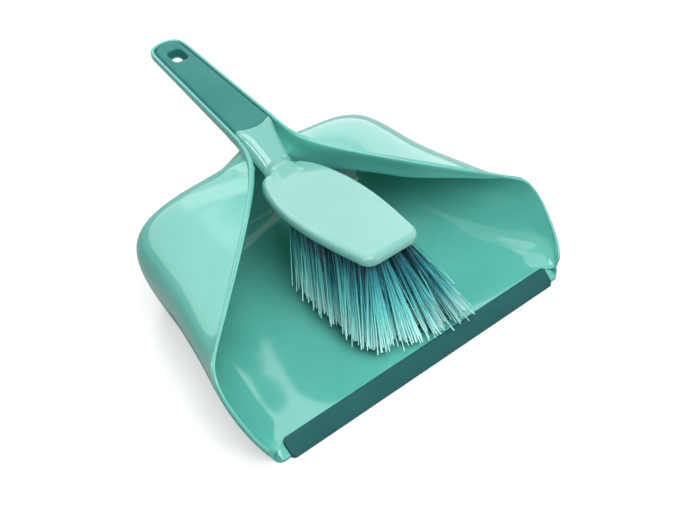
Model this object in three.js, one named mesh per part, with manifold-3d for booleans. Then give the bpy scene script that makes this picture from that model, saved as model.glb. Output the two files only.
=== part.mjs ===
// A dustpan with its hand brush lying in it, the brush handle seated in the pan's channelled handle.
// Millimetres, +Z up. The lip is towards -Y and both handles run towards +Y.
import * as THREE from 'three';
import { mergeGeometries, mergeVertices } from 'three/addons/utils/BufferGeometryUtils.js';
import Module from 'manifold-3d';

const wasm = await Module();
wasm.setup();

// Clearances
const SEAT_GAP = 0.3;
const CHANNEL_GAP = 0.9;
const TIP_CLEARANCE = 10;

// Pan: y runs back from the lip's front edge, z up from the ground
const PAN_WALL = 2.4;
const PAN_DEPTH = 200;
const FRONT_HALF = 140;
const FRONT_SETBACK = 3;
const FRONT_HEIGHT = 4.5;
const FLARE_HALF = 156;
const SHOULDER_ROUND = 6;
const SHOULDER_Y = 57;
const SHOULDER_HEIGHT = 61;
const BASE_SHOULDER_HALF = 135;
const BASE_REAR_HALF = 99;
const BASE_REAR_ROUND = 14;
const HOOD_FLARE = 21;
const HOOD_SIDE_HEIGHT = 55;
const HOOD_REAR_FLARE = 31;
const HOOD_REAR_HEIGHT = 80;
const HOOD_REAR_OVERHANG = 20;
const HOOD_CREST_HALF = 71;
const HOOD_CREST_HEIGHT = 84;
const HOOD_BACK_HEIGHT = 58;
const HOOD_BACK_OVERHANG = 4;
const BASE_CREST_HALF = 66;
const MOUTH_NECK_Y = 162.5;
const MOUTH_NECK_HEIGHT = 101;
const MOUTH_NECK_FLARE = 1;
const FLANGE_HEIGHT = 17;
const FLANGE_INSIDE = 2;
const FLANGE_OUTSIDE = 0.6;
const THROAT_HEIGHT = 28;
const THROAT_ROOT_HEIGHT = 16;
const RAMP_HEIGHT = 8;
const RAMP_LENGTH = 48;

// Rubber lip, and the tongue of the pan that it is pressed onto
const LIP_LENGTH = 260;
const LIP_DEPTH = 13;
const LIP_HEIGHT = 10;
const LIP_NOSE = 1.2;
const LIP_CORNER = 4;
const TONGUE_DEPTH = 6;
const TONGUE_THICKNESS = 2;
const TONGUE_HEIGHT = 2.2;

// Brush block
const BLOCK_FRONT_Y = 41;
const BLOCK_LENGTH = 124;
const BLOCK_WIDEST = 68;
const BLOCK_THICKNESS = 9;
const BLOCK_FRONT_HALF = 27;
const BLOCK_MAX_HALF = 33.5;
const BLOCK_REAR_HALF = 13;
const BLOCK_CORNER = 11;
const BLOCK_EDGE = 4.5;
const BLOCK_UNDER_EDGE = 3.5;

// Bristles, the slices of backing that they stand in, and the wire anchor in each tuft hole
const BRISTLE_LENGTH = 64;
const BRISTLE_ROOT = 0.75;
const BRISTLE_TIP = 0.4;
const FRONT_LEAN = THREE.MathUtils.degToRad(27);
const REAR_LEAN = THREE.MathUtils.degToRad(9);
const FRONT_SPLAY = THREE.MathUtils.degToRad(27);
const REAR_SPLAY = THREE.MathUtils.degToRad(18);
const FRONT_SWAY = THREE.MathUtils.degToRad(8);
const REAR_SWAY = THREE.MathUtils.degToRad(16);
const TIP_STRAY = 0.5;
const BACKING_THICKNESS = 2;
const BACKING_MARGIN = 6;
const BACKING_REAR_MARGIN = 34;
const BACKING_SLICES = 4;
const TUFT_ROWS = 3;
const TUFT_COLUMNS = 4;
const STRANDS_ACROSS_TUFT = 3;
const TUFT_HOLE_RADIUS = 2.1;
const TUFT_HOLE_DEPTH = 4;
const ANCHOR_WIDTH = 3;
const ANCHOR_THICKNESS = 0.6;
const ANCHOR_HEIGHT = 2;

// Brush neck, handle and grip
const HANDLE_TILT = THREE.MathUtils.degToRad(11.5);
const HANDLE_ROOT_Y = 194;
const HANDLE_RISE = 25;
const HANDLE_LENGTH = 110;
const HANDLE_THICKNESS = 15;
const HANDLE_END_THICKNESS = 7;
const HANDLE_ROOT_HALF = 16.5;
const HANDLE_END_HALF = 12.6;
const HANDLE_END_ROUND = 11;
const HANDLE_EDGE = 3.5;
const HANDLE_UNDER_EDGE = 11;
const HANDLE_END_UNDER_EDGE = 3.2;
const NECK_FOOT_HALF = 12;
const NECK_FOOT_BURIED = 22;
const NECK_FOOT_THICKNESS = 8;
const NECK_SIDE = 0.4;
const NECK_FOOT_SUNK = 1.5;
const NECK_FOOT_REACH = 20;
const NECK_ROOT_REACH = 14;
const GRIP_THICKNESS = 2.6;
const GRIP_FRONT = -3;
const GRIP_SWEEP = 4.5;
const HOLE_SIZE = 13;
const HOLE_CORNER = 3.2;
const HOLE_FROM_END = 17.5;
const PAN_HOLE_MARGIN = 0.6;
const CHANNEL_RIM_DROP = 1;
const CHANNEL_FRONT = 6;
const CHANNEL_EDGE = 0.6;
const CHANNEL_CUT = 14;

// Heights and lengths that stack up
const BLOCK_BASE = PAN_WALL + TIP_CLEARANCE + BRISTLE_LENGTH;
const BLOCK_TOP = BLOCK_BASE + BLOCK_THICKNESS;
const BLOCK_REAR_Y = BLOCK_FRONT_Y + BLOCK_LENGTH;
const HANDLE_ROOT_Z = BLOCK_TOP + HANDLE_RISE;
const CHANNEL_FLOOR = HANDLE_THICKNESS + SEAT_GAP;
const CHANNEL_SIDE = HANDLE_ROOT_HALF + CHANNEL_GAP + PAN_WALL;
const CHANNEL_UNDER_EDGE = HANDLE_UNDER_EDGE + CHANNEL_GAP + PAN_WALL;
const CHANNEL_STRAIGHT = CHANNEL_FLOOR + PAN_WALL - CHANNEL_UNDER_EDGE;
const LIP_SEAT_Y = LIP_DEPTH + SEAT_GAP;

// How finely curves are stepped
const HOOD_STEPS = 30;
const SECTION_STEPS = 9;
const MOUTH_STEPS = 24;
const FLANGE_STEPS = 4;
const NECK_STEPS = 9;
const END_STEPS = 8;
const BLOCK_STEPS = 8;
const EDGE_STEPS = 4;
const HOLE_SIDES = 6;

// Colours
const MINT = 0x6fc7b6;
const PALE_MINT = 0x9fdccf;
const DARK_TEAL = 0x2b6f6c;
const GRIP_TEAL = 0x4f9c95;
const BRISTLE_TEAL = 0x57a5a8;
const STEEL = 0xb8bcc0;

const { lerp, smoothstep } = THREE.MathUtils;
const vec = (x = 0, y = 0, z = 0) => new THREE.Vector3(x, y, z);
const mirrored = (point) => vec(-point.x, point.y, point.z);

// Solids and meshes

function toSolid(geometry) {
  geometry.deleteAttribute('normal');
  geometry.deleteAttribute('uv');
  const merged = mergeVertices(geometry);
  const vertProperties = new Float32Array(merged.attributes.position.array);
  const triVerts = new Uint32Array(merged.index.array);
  return new wasm.Manifold(new wasm.Mesh({ numProp: 3, vertProperties, triVerts }));
}

function toMesh(name, solid, color, roughness, metalness = 0) {
  const { vertProperties, triVerts } = solid.getMesh();
  const geometry = new THREE.BufferGeometry();
  geometry.setAttribute('position', new THREE.BufferAttribute(vertProperties, 3));
  geometry.setIndex(new THREE.BufferAttribute(triVerts, 1));
  geometry.computeVertexNormals();
  const material = new THREE.MeshStandardMaterial({ color, roughness, metalness });
  const mesh = new THREE.Mesh(geometry, material);
  mesh.name = name;
  return mesh;
}

// A closed body from its points and triangles, turned so that its faces point out
function closedBody(points, triangles) {
  const volume = triangles.reduce((sum, [a, b, c]) =>
    sum + points[a].dot(vec().crossVectors(points[b], points[c])), 0);
  const outward = volume < 0 ? triangles.map(([a, b, c]) => [a, c, b]) : triangles;
  const geometry = new THREE.BufferGeometry().setFromPoints(points);
  geometry.setIndex(outward.flat());
  return toSolid(geometry);
}

// The largest body of a solid, without loose crumbs or sealed pockets where walls meet
const outerBody = (solid) =>
  solid.decompose().reduce((best, body) => (body.volume() > best.volume() ? body : best));

const split = (quads) => quads.flatMap(([a, b, c, d]) => [[a, b, c], [a, c, d]]);

// A wall between an outer and an inner grid of points, closed along all four edges
function wallBetween(outer, inner) {
  const rows = outer.length;
  const columns = outer[0].length;
  const out = (i, j) => i * columns + j;
  const into = (i, j) => (rows + i) * columns + j;
  const quads = [];
  for (let i = 0; i + 1 < rows; i += 1) {
    for (let j = 0; j + 1 < columns; j += 1) {
      quads.push([out(i, j), out(i + 1, j), out(i + 1, j + 1), out(i, j + 1)]);
      quads.push([into(i, j), into(i, j + 1), into(i + 1, j + 1), into(i + 1, j)]);
    }
    quads.push([out(i, 0), into(i, 0), into(i + 1, 0), out(i + 1, 0)]);
    const last = columns - 1;
    quads.push([out(i, last), out(i + 1, last), into(i + 1, last), into(i, last)]);
  }
  for (let j = 0; j + 1 < columns; j += 1) {
    const last = rows - 1;
    quads.push([out(0, j), out(0, j + 1), into(0, j + 1), into(0, j)]);
    quads.push([out(last, j), into(last, j), into(last, j + 1), out(last, j + 1)]);
  }
  return closedBody([...outer.flat(), ...inner.flat()], split(quads));
}

// A body through a row of rings with equal counts, with a fan over each end
function loft(rings) {
  const count = rings[0].length;
  const points = rings.flat();
  const triangles = [];
  for (let i = 0; i + 1 < rings.length; i += 1) {
    for (let j = 0; j < count; j += 1) {
      const next = (j + 1) % count;
      const [near, far] = [i * count, (i + 1) * count];
      triangles.push(...split([[near + j, near + next, far + next, far + j]]));
    }
  }
  const last = (rings.length - 1) * count;
  const middles = [rings[0], rings.at(-1)].map((ring) =>
    ring.reduce((sum, point) => sum.add(point), vec()).divideScalar(count));
  for (let j = 0; j < count; j += 1) {
    const next = (j + 1) % count;
    triangles.push([next, j, points.length], [last + j, last + next, points.length + 1]);
  }
  return closedBody([...points, ...middles], triangles);
}

// A flat outline pushed along its own z from low to high, then placed by a matrix
function prism(outline, low, high, placed = new THREE.Matrix4()) {
  const shape = new THREE.Shape(outline.map(([x, y]) => new THREE.Vector2(x, y)));
  const geometry = new THREE.ExtrudeGeometry(shape, { depth: high - low, bevelEnabled: false });
  geometry.translate(0, 0, low);
  geometry.applyMatrix4(placed);
  return toSolid(geometry);
}

// A (y, z) profile carried along x from -half to half
function barAlongX(profile, half) {
  const placed = new THREE.Matrix4().makeBasis(vec(0, 1, 0), vec(0, 0, 1), vec(1, 0, 0));
  return prism(profile, -half, half, placed);
}

// The right side of an outline, joined to its mirror image
function symmetricOutline(rightSide) {
  const leftSide = rightSide.filter(([x]) => x > 0).map(([x, y]) => [-x, y]);
  return [...rightSide, ...leftSide.reverse()];
}

function roundedRectangle(half, low, high, radius) {
  const rightSide = [];
  for (const [middle, from] of [[low + radius, -Math.PI / 2], [high - radius, 0]]) {
    for (let i = 0; i <= EDGE_STEPS; i += 1) {
      const angle = from + (i / EDGE_STEPS) * (Math.PI / 2);
      rightSide.push([half - radius + radius * Math.cos(angle), middle + radius * Math.sin(angle)]);
    }
  }
  return symmetricOutline(rightSide);
}

// The handle's own frame: x across, y along it from its root, z square to its top face

const handleFrame = new THREE.Matrix4()
  .makeTranslation(0, HANDLE_ROOT_Y, HANDLE_ROOT_Z)
  .multiply(new THREE.Matrix4().makeRotationX(HANDLE_TILT));
const handleNormal = vec(0, -Math.sin(HANDLE_TILT), Math.cos(HANDLE_TILT));
const onHandle = (across, along, above) => vec(across, along, above).applyMatrix4(handleFrame);

// Places along the handle grown sideways by a margin, from a start at or before its root to its round end.
// Each has the half width, the distance along, how much thinner the handle is than at its root, and its
// under-edge radius.
function handlePlaces(margin, start) {
  const squareness = 0.7;
  const straight = HANDLE_LENGTH - HANDLE_END_ROUND;
  const place = (share, half, along) => ({
    half: half + margin,
    along,
    thinner: share * (HANDLE_THICKNESS - HANDLE_END_THICKNESS),
    under: lerp(HANDLE_UNDER_EDGE, HANDLE_END_UNDER_EDGE, share) + margin,
  });
  const places = [place(0, HANDLE_ROOT_HALF, 0)];
  if (start < 0) {
    places.unshift(place(0, HANDLE_ROOT_HALF, start));
  }
  for (let i = 0; i < END_STEPS; i += 1) {
    const angle = (i / END_STEPS) * (Math.PI / 2);
    const half = (HANDLE_END_HALF + margin) * Math.cos(angle) ** squareness - margin;
    places.push(place(1, half, straight + (HANDLE_END_ROUND + margin) * Math.sin(angle) ** squareness));
  }
  return places;
}

// Rings along the handle, grown sideways by a margin and reaching from a height above its top to a depth
function handleRings(margin, start, above, depth, topEdge) {
  return handlePlaces(margin, start).map(({ half, along, thinner, under }) => {
    const place = (x, z) => onHandle(x, along, above + z);
    return ringAcross(half, above + depth - thinner, topEdge, Math.min(under, half), place);
  });
}

function hangHole(margin) {
  const middle = HANDLE_LENGTH - HOLE_FROM_END;
  const half = HOLE_SIZE / 2 + margin;
  const outline = roundedRectangle(half, middle - half, middle + half, HOLE_CORNER + margin);
  return prism(outline, -2 * CHANNEL_FLOOR, CHANNEL_FLOOR, handleFrame);
}

// Pan

// The ridge of the mouth, from the right shoulder up to the neck and back to the root of the handle
function mouthRidge() {
  const shoulder = vec(FLARE_HALF - SHOULDER_ROUND, SHOULDER_Y, SHOULDER_HEIGHT);
  const neck = vec(CHANNEL_SIDE + MOUTH_NECK_FLARE, MOUTH_NECK_Y, MOUTH_NECK_HEIGHT);
  const root = onHandle(CHANNEL_SIDE, 0, -CHANNEL_RIM_DROP);
  return new THREE.CubicBezierCurve3(shoulder, neck, neck, root);
}

// Sections of the front side wall, as shares of the way out, back and up from the front corner
// to the shoulder
const FRONT_WALL = [
  { ground: 0, corner: [-0.05, 0, -0.045], rim: [0, 0, 0] },
  { ground: 0.2, corner: [0.35, 0.21, 0.07], rim: [0.6, 0.19, 0.25] },
  { ground: 0.6, corner: [0.6, 0.66, 0.28], rim: [1, 0.7, 0.74] },
];
const SHOULDER_CORNER = [0.75, 1.1, 0.68];

// Sections of the hood's wings, as shares of the way back along the side and up the ridge of the mouth
const WING = [
  { back: 0.3, bulge: 0.12, ridge: 0.08 },
  { back: 0.63, bulge: 0.45, ridge: 0.21 },
  { back: 1, bulge: 1, ridge: 0.42 },
];

// Where the hood's crest meets the ridge: a share of the way up it, and of the flange's height below it.
// Behind that, the turns round the channel's wall, in half turns from its side, where the hood meets it.
const CREST = { ridge: 0.68, down: 0.15 };
const BACK_TURNS = [0.3, 0.38, 0.45, 0.5];

// Stations round the right half of the pan, from its front corner to the middle of its back. Each has a point
// on the ground, the corner where side and top would meet if they were sharp, and the rim of the hood.
function hoodStations() {
  const ridge = mouthRidge();
  const rearY = PAN_DEPTH - BASE_REAR_ROUND;
  const stations = [];
  const front = ([across, along, up]) => vec(
    lerp(FRONT_HALF, FLARE_HALF, across),
    lerp(FRONT_SETBACK, SHOULDER_Y, along),
    lerp(FRONT_HEIGHT, SHOULDER_HEIGHT, up));
  for (const { ground, corner, rim } of FRONT_WALL) {
    const half = lerp(FRONT_HALF, BASE_SHOULDER_HALF, ground ** 2);
    stations.push([vec(half, lerp(FRONT_SETBACK, SHOULDER_Y, ground)), front(corner), front(rim)]);
  }
  stations.push([vec(BASE_SHOULDER_HALF, SHOULDER_Y), front(SHOULDER_CORNER), ridge.getPoint(0)]);

  for (const { back, bulge, ridge: along } of WING) {
    const half = lerp(BASE_SHOULDER_HALF, BASE_REAR_HALF, back);
    const y = lerp(SHOULDER_Y, rearY, back);
    const corner = vec(
      half + lerp(HOOD_FLARE, HOOD_REAR_FLARE, bulge),
      y + HOOD_REAR_OVERHANG * bulge,
      lerp(HOOD_SIDE_HEIGHT, HOOD_REAR_HEIGHT, bulge));
    stations.push([vec(half, y), corner, ridge.getPoint(along)]);
  }

  const crest = vec(HOOD_CREST_HALF, PAN_DEPTH + HOOD_BACK_OVERHANG, HOOD_CREST_HEIGHT);
  const underRidge = ridge.getPoint(CREST.ridge).addScaledVector(handleNormal, -CREST.down * FLANGE_HEIGHT);
  stations.push([vec(BASE_CREST_HALF, PAN_DEPTH), crest, underRidge]);
  BACK_TURNS.forEach((turn, i) => {
    const share = 1 - (i + 1) / BACK_TURNS.length;
    const corner = vec(HOOD_CREST_HALF * share, PAN_DEPTH + HOOD_BACK_OVERHANG, HOOD_BACK_HEIGHT);
    stations.push([vec(BASE_CREST_HALF * share, PAN_DEPTH), corner, insideChannelWall(turn * Math.PI)]);
  });
  return stations;
}

// A point inside the wall of the channel's front end, at a turn from its side to the middle of its bottom
function insideChannelWall(turn) {
  const radius = CHANNEL_UNDER_EDGE - PAN_WALL / 2;
  const across = CHANNEL_SIDE - CHANNEL_UNDER_EDGE + radius * Math.cos(turn);
  const below = CHANNEL_STRAIGHT + radius * Math.sin(turn);
  const atMiddle = turn >= Math.PI / 2;
  return onHandle(atMiddle ? 0 : across, PAN_WALL / 2 - CHANNEL_FRONT, -below);
}

// Cross-sections of the hood's outer face, all the way round from the right front corner to the left one
function hoodSections() {
  const wallFullness = 0.9;
  const topFullness = 0.85;
  const stations = hoodStations();
  const [grounds, corners, rims] = [0, 1, 2].map((part) =>
    new THREE.CatmullRomCurve3(stations.map((station) => station[part])));
  const rightHalf = [];
  for (let i = 0; i <= HOOD_STEPS; i += 1) {
    const [ground, corner, rim] = [grounds, corners, rims].map((curve) => curve.getPoint(i / HOOD_STEPS));
    const wall = ground.clone().lerp(corner, wallFullness);
    const top = rim.clone().lerp(corner, topFullness);
    rightHalf.push(new THREE.CubicBezierCurve3(ground, wall, top, rim).getPoints(SECTION_STEPS));
  }
  const leftHalf = rightHalf.slice(0, -1).reverse().map((section) => section.map(mirrored));
  return [...rightHalf, ...leftHalf];
}

// The inner face of a wall of even thickness behind a grid of points
function offsetGrid(grid, thickness) {
  const step = (list, i) => [list[Math.max(i - 1, 0)], list[Math.min(i + 1, list.length - 1)]];
  return grid.map((section, i) => section.map((point, j) => {
    const [before, after] = step(grid, i);
    const [below, above] = step(section, j);
    const along = after[j].clone().sub(before[j]);
    const inward = along.cross(above.clone().sub(below)).normalize();
    const moved = point.clone().addScaledVector(inward, -thickness);
    return moved.setZ(j === 0 ? 0 : Math.max(moved.z, 0));
  }));
}

// The turned-down flange of the mouth, which deepens into the throat and curls under into the channel's walls
function mouthFlange() {
  const stub = 0.2;
  const fullBy = 0.25;
  const deepestBy = 0.7;
  const curlFrom = 0.55;
  const ridge = mouthRidge();
  const rightHalf = [];
  for (let i = 0; i <= MOUTH_STEPS; i += 1) {
    const share = i / MOUTH_STEPS;
    const grown = FLANGE_HEIGHT * lerp(stub, 1, smoothstep(share, 0, fullBy));
    const deepened = lerp(grown, THROAT_HEIGHT, smoothstep(share, fullBy, deepestBy));
    const height = lerp(deepened, THROAT_ROOT_HEIGHT, smoothstep(share, deepestBy, 1));
    rightHalf.push({ top: ridge.getPoint(share), height, curl: smoothstep(share, curlFrom, 1) });
  }
  const leftHalf = rightHalf.map((place) => ({ ...place, top: mirrored(place.top) }));
  return flangeAlong(rightHalf).add(flangeAlong(leftHalf));
}

// How far the wall of the channel has turned in at a depth below its rim
function turnedIn(depth) {
  const rest = Math.min(Math.max(depth - CHANNEL_STRAIGHT + CHANNEL_RIM_DROP, 0), CHANNEL_UNDER_EDGE);
  return CHANNEL_UNDER_EDGE - Math.sqrt(CHANNEL_UNDER_EDGE ** 2 - rest ** 2);
}

function flangeAlong(path) {
  const outer = [];
  const inner = [];
  path.forEach(({ top, height, curl }, i) => {
    const before = path[Math.max(i - 1, 0)].top;
    const after = path[Math.min(i + 1, path.length - 1)].top;
    const inward = handleNormal.clone().cross(after.clone().sub(before)).normalize();
    inward.multiplyScalar(-Math.sign(inward.x * top.x));
    const column = (offset) => Array.from({ length: FLANGE_STEPS + 1 }, (_, step) => {
      const depth = height * (1 - step / FLANGE_STEPS);
      return top.clone()
        .addScaledVector(inward, offset + curl * turnedIn(depth))
        .addScaledVector(handleNormal, -depth);
    });
    outer.push(column(-FLANGE_OUTSIDE));
    inner.push(column(FLANGE_INSIDE));
  });
  return wallBetween(outer, inner);
}

// The round-bottomed channel that the brush handle lies in
function handleChannel() {
  const outside = handleRings(
    CHANNEL_GAP + PAN_WALL, -CHANNEL_FRONT, -CHANNEL_RIM_DROP, CHANNEL_FLOOR + PAN_WALL, CHANNEL_EDGE);
  const inside = handleRings(CHANNEL_GAP, -HANDLE_LENGTH, HANDLE_THICKNESS, CHANNEL_FLOOR, CHANNEL_EDGE);
  return loft(outside).subtract(loft(inside));
}

// The floor, just inside the walls, with the ramp behind the lip
function panFloor(sections) {
  const margin = PAN_WALL + 2 * SEAT_GAP;
  const inset = offsetGrid(sections, margin)
    .map(([point]) => [point.x, Math.min(point.y, PAN_DEPTH - margin)]);
  const profile = [
    [FRONT_SETBACK, 0],
    [PAN_DEPTH, 0],
    [PAN_DEPTH, PAN_WALL],
    [LIP_SEAT_Y + RAMP_LENGTH, PAN_WALL],
    [LIP_SEAT_Y + PAN_WALL, RAMP_HEIGHT],
    [LIP_SEAT_Y, RAMP_HEIGHT],
    [FRONT_SETBACK, PAN_WALL],
  ];
  const seatCorner = LIP_CORNER + SEAT_GAP;
  const notch = roundedRectangle(LIP_LENGTH / 2 + SEAT_GAP, -LIP_SEAT_Y, LIP_SEAT_Y, seatCorner);
  return barAlongX(profile, FRONT_HALF)
    .intersect(prism(inset, -PAN_WALL, LIP_HEIGHT))
    .subtract(prism(notch, -PAN_WALL, LIP_HEIGHT));
}

function lipTongue(margin) {
  const tip = LIP_SEAT_Y - TONGUE_DEPTH - margin;
  const low = TONGUE_HEIGHT - margin;
  const high = TONGUE_HEIGHT + TONGUE_THICKNESS + margin;
  const root = LIP_SEAT_Y + PAN_WALL / 2;
  const half = LIP_LENGTH / 2 - LIP_CORNER + margin;
  return barAlongX([[tip, low], [root, low], [root, high], [tip, high]], half);
}

// Everything on the handle's side of a cut square across it
function behindCut(along) {
  const half = 2 * HANDLE_ROOT_HALF;
  const end = 2 * HANDLE_LENGTH;
  const outline = [[-half, along], [half, along], [half, end], [-half, end]];
  return prism(outline, -2 * CHANNEL_FLOOR, CHANNEL_FLOOR, handleFrame);
}

// The moulding in three pieces that lie edge to edge: its walls and hood, its floor and its handle
function panPieces() {
  const sections = hoodSections();
  const hood = wallBetween(sections, offsetGrid(sections, PAN_WALL));
  const walls = hood
    .add(mouthFlange())
    .add(handleChannel())
    .subtract(hangHole(PAN_HOLE_MARGIN));
  return {
    shell: outerBody(walls.subtract(behindCut(CHANNEL_CUT - SEAT_GAP))),
    floor: panFloor(sections).add(lipTongue(0)),
    handle: outerBody(walls.intersect(behindCut(CHANNEL_CUT))),
  };
}

function rubberLip() {
  const wedge = [[0, 0], [LIP_DEPTH, 0], [LIP_DEPTH, LIP_HEIGHT], [0, LIP_NOSE]];
  const plan = roundedRectangle(LIP_LENGTH / 2, 0, LIP_DEPTH, LIP_CORNER);
  return barAlongX(wedge, LIP_LENGTH / 2)
    .intersect(prism(plan, 0, LIP_HEIGHT))
    .subtract(lipTongue(SEAT_GAP));
}

// Brush

// Half the block's width at a distance behind its front
function blockHalf(behind) {
  if (behind < BLOCK_CORNER) {
    const rest = BLOCK_CORNER - Math.max(behind, 0);
    return BLOCK_FRONT_HALF - BLOCK_CORNER + Math.sqrt(BLOCK_CORNER ** 2 - rest ** 2);
  }
  if (behind < BLOCK_WIDEST) {
    const share = (behind - BLOCK_CORNER) / (BLOCK_WIDEST - BLOCK_CORNER);
    return lerp(BLOCK_FRONT_HALF, BLOCK_MAX_HALF, Math.sin(share * Math.PI / 2));
  }
  const share = Math.min((behind - BLOCK_WIDEST) / (BLOCK_LENGTH - BLOCK_WIDEST), 1);
  return lerp(BLOCK_REAR_HALF, BLOCK_MAX_HALF, Math.sqrt(1 - share ** 2));
}

// A ring in a plane across the brush: flat top and underside with rounded edges
function ringAcross(half, thickness, topEdge, underEdge, place) {
  const ring = [];
  const corners = [
    [1, -thickness + underEdge, underEdge, -Math.PI / 2],
    [1, -topEdge, topEdge, 0],
    [-1, -topEdge, topEdge, Math.PI / 2],
    [-1, -thickness + underEdge, underEdge, Math.PI],
  ];
  for (const [sign, level, radius, from] of corners) {
    for (let i = 0; i <= EDGE_STEPS; i += 1) {
      const angle = from + (i / EDGE_STEPS) * (Math.PI / 2);
      ring.push(place(sign * (half - radius) + radius * Math.cos(angle), level + radius * Math.sin(angle)));
    }
  }
  return ring;
}

function brushBlock() {
  const places = [];
  for (let i = 0; i <= EDGE_STEPS; i += 1) {
    places.push(BLOCK_EDGE * (1 - Math.cos((i / EDGE_STEPS) * (Math.PI / 2))));
  }
  for (let i = 1; i <= EDGE_STEPS / 2; i += 1) {
    places.push(lerp(BLOCK_EDGE, BLOCK_CORNER, i / (EDGE_STEPS / 2)));
  }
  for (let i = 1; i <= BLOCK_STEPS; i += 1) {
    places.push(lerp(BLOCK_CORNER, BLOCK_WIDEST, i / BLOCK_STEPS));
  }
  for (let i = 1; i <= BLOCK_STEPS; i += 1) {
    places.push(lerp(BLOCK_WIDEST, BLOCK_LENGTH, Math.sin((i / BLOCK_STEPS) * (Math.PI / 2))));
  }
  const rings = places.map((behind) => {
    const rest = Math.max(BLOCK_EDGE - behind, 0);
    const drop = BLOCK_EDGE - Math.sqrt(BLOCK_EDGE ** 2 - rest ** 2);
    const edge = Math.max(BLOCK_EDGE - drop, BLOCK_UNDER_EDGE);
    const place = (x, z) => vec(x, BLOCK_FRONT_Y + behind, BLOCK_TOP - drop + z);
    return ringAcross(blockHalf(behind), BLOCK_THICKNESS - drop, edge, BLOCK_UNDER_EDGE, place);
  });
  return loft(rings);
}

// The neck climbs from inside the block's back to the root of the handle, which runs on to its round end
function neckAndHandle() {
  const widensFrom = 0.2;
  const thickensFrom = 0.4;
  const rings = [];
  const footY = BLOCK_REAR_Y - NECK_FOOT_BURIED;
  const footZ = BLOCK_TOP - NECK_FOOT_SUNK;
  const beforeRoot = onHandle(0, -NECK_ROOT_REACH, 0);
  const climb = new THREE.CubicBezierCurve(
    new THREE.Vector2(footY, footZ),
    new THREE.Vector2(footY + NECK_FOOT_REACH, footZ),
    new THREE.Vector2(beforeRoot.y, beforeRoot.z),
    new THREE.Vector2(HANDLE_ROOT_Y, HANDLE_ROOT_Z));
  for (let i = 0; i < NECK_STEPS; i += 1) {
    const share = i / NECK_STEPS;
    const top = climb.getPoint(share);
    const tilt = HANDLE_TILT * smoothstep(share, 0, 1);
    const half = lerp(NECK_FOOT_HALF, HANDLE_ROOT_HALF, smoothstep(share, widensFrom, 1));
    const thickness = lerp(NECK_FOOT_THICKNESS, HANDLE_THICKNESS, smoothstep(share, thickensFrom, 1));
    const place = (x, z) => vec(x, top.x - z * Math.sin(tilt), top.y + z * Math.cos(tilt));
    const under = Math.min(HANDLE_UNDER_EDGE, thickness - HANDLE_EDGE - NECK_SIDE);
    rings.push(ringAcross(half, thickness, HANDLE_EDGE, under, place));
  }
  rings.push(...handleRings(0, 0, 0, HANDLE_THICKNESS, HANDLE_EDGE));
  return loft(rings);
}

// The slab of the handle's top that the soft grip takes, grown by a margin
function gripRegion(margin) {
  const beyond = 2 * HANDLE_ROOT_HALF;
  const rightSide = [];
  for (let i = 0; i <= END_STEPS; i += 1) {
    const across = (i / END_STEPS) * beyond;
    const sweep = GRIP_SWEEP * Math.min(across / HANDLE_ROOT_HALF, 1) ** 2;
    rightSide.push([across, GRIP_FRONT + sweep - margin]);
  }
  rightSide.push([beyond, HANDLE_LENGTH + beyond]);
  return prism(symmetricOutline(rightSide), -GRIP_THICKNESS - margin, HANDLE_THICKNESS, handleFrame);
}

// Half the width of the bristle backing, and where its slices start and end along the block
const backingHalf = (behind) => blockHalf(behind) - BACKING_MARGIN;
const backingEdge = (slice) =>
  lerp(BACKING_MARGIN, BLOCK_LENGTH - BACKING_REAR_MARGIN, slice / BACKING_SLICES);

function backingPlate(slice, margin, high) {
  const from = backingEdge(slice) + SEAT_GAP / 2;
  const to = backingEdge(slice + 1) - SEAT_GAP / 2;
  const rightSide = [];
  for (let i = 0; i <= BLOCK_STEPS; i += 1) {
    const behind = lerp(from, to, i / BLOCK_STEPS);
    rightSide.push([backingHalf(behind) + margin, BLOCK_FRONT_Y + behind]);
  }
  rightSide[0][1] -= margin;
  rightSide.at(-1)[1] += margin;
  return prism(symmetricOutline(rightSide), BLOCK_BASE - margin, high);
}

// Tuft centres in one slice of backing, and the pitch between them
function tuftsIn(slice) {
  const from = backingEdge(slice) + SEAT_GAP / 2;
  const to = backingEdge(slice + 1) - SEAT_GAP / 2;
  const rowPitch = (to - from) / TUFT_ROWS;
  const tufts = [];
  for (let row = 0; row < TUFT_ROWS; row += 1) {
    const behind = from + (row + 0.5) * rowPitch;
    const usable = backingHalf(behind) - BRISTLE_ROOT;
    for (let column = 0; column < TUFT_COLUMNS; column += 1) {
      const across = (2 * (column + 0.5) / TUFT_COLUMNS - 1) * usable;
      tufts.push({ x: across, behind, columnPitch: 2 * usable / TUFT_COLUMNS, rowPitch });
    }
  }
  return tufts;
}

// A repeatable stray offset for a strand's tip, from -1 to 1
const stray = (index, salt) => 2 * ((Math.sin(index * 12.9898 + salt * 78.233) * 43758.5453) % 1);

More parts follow.
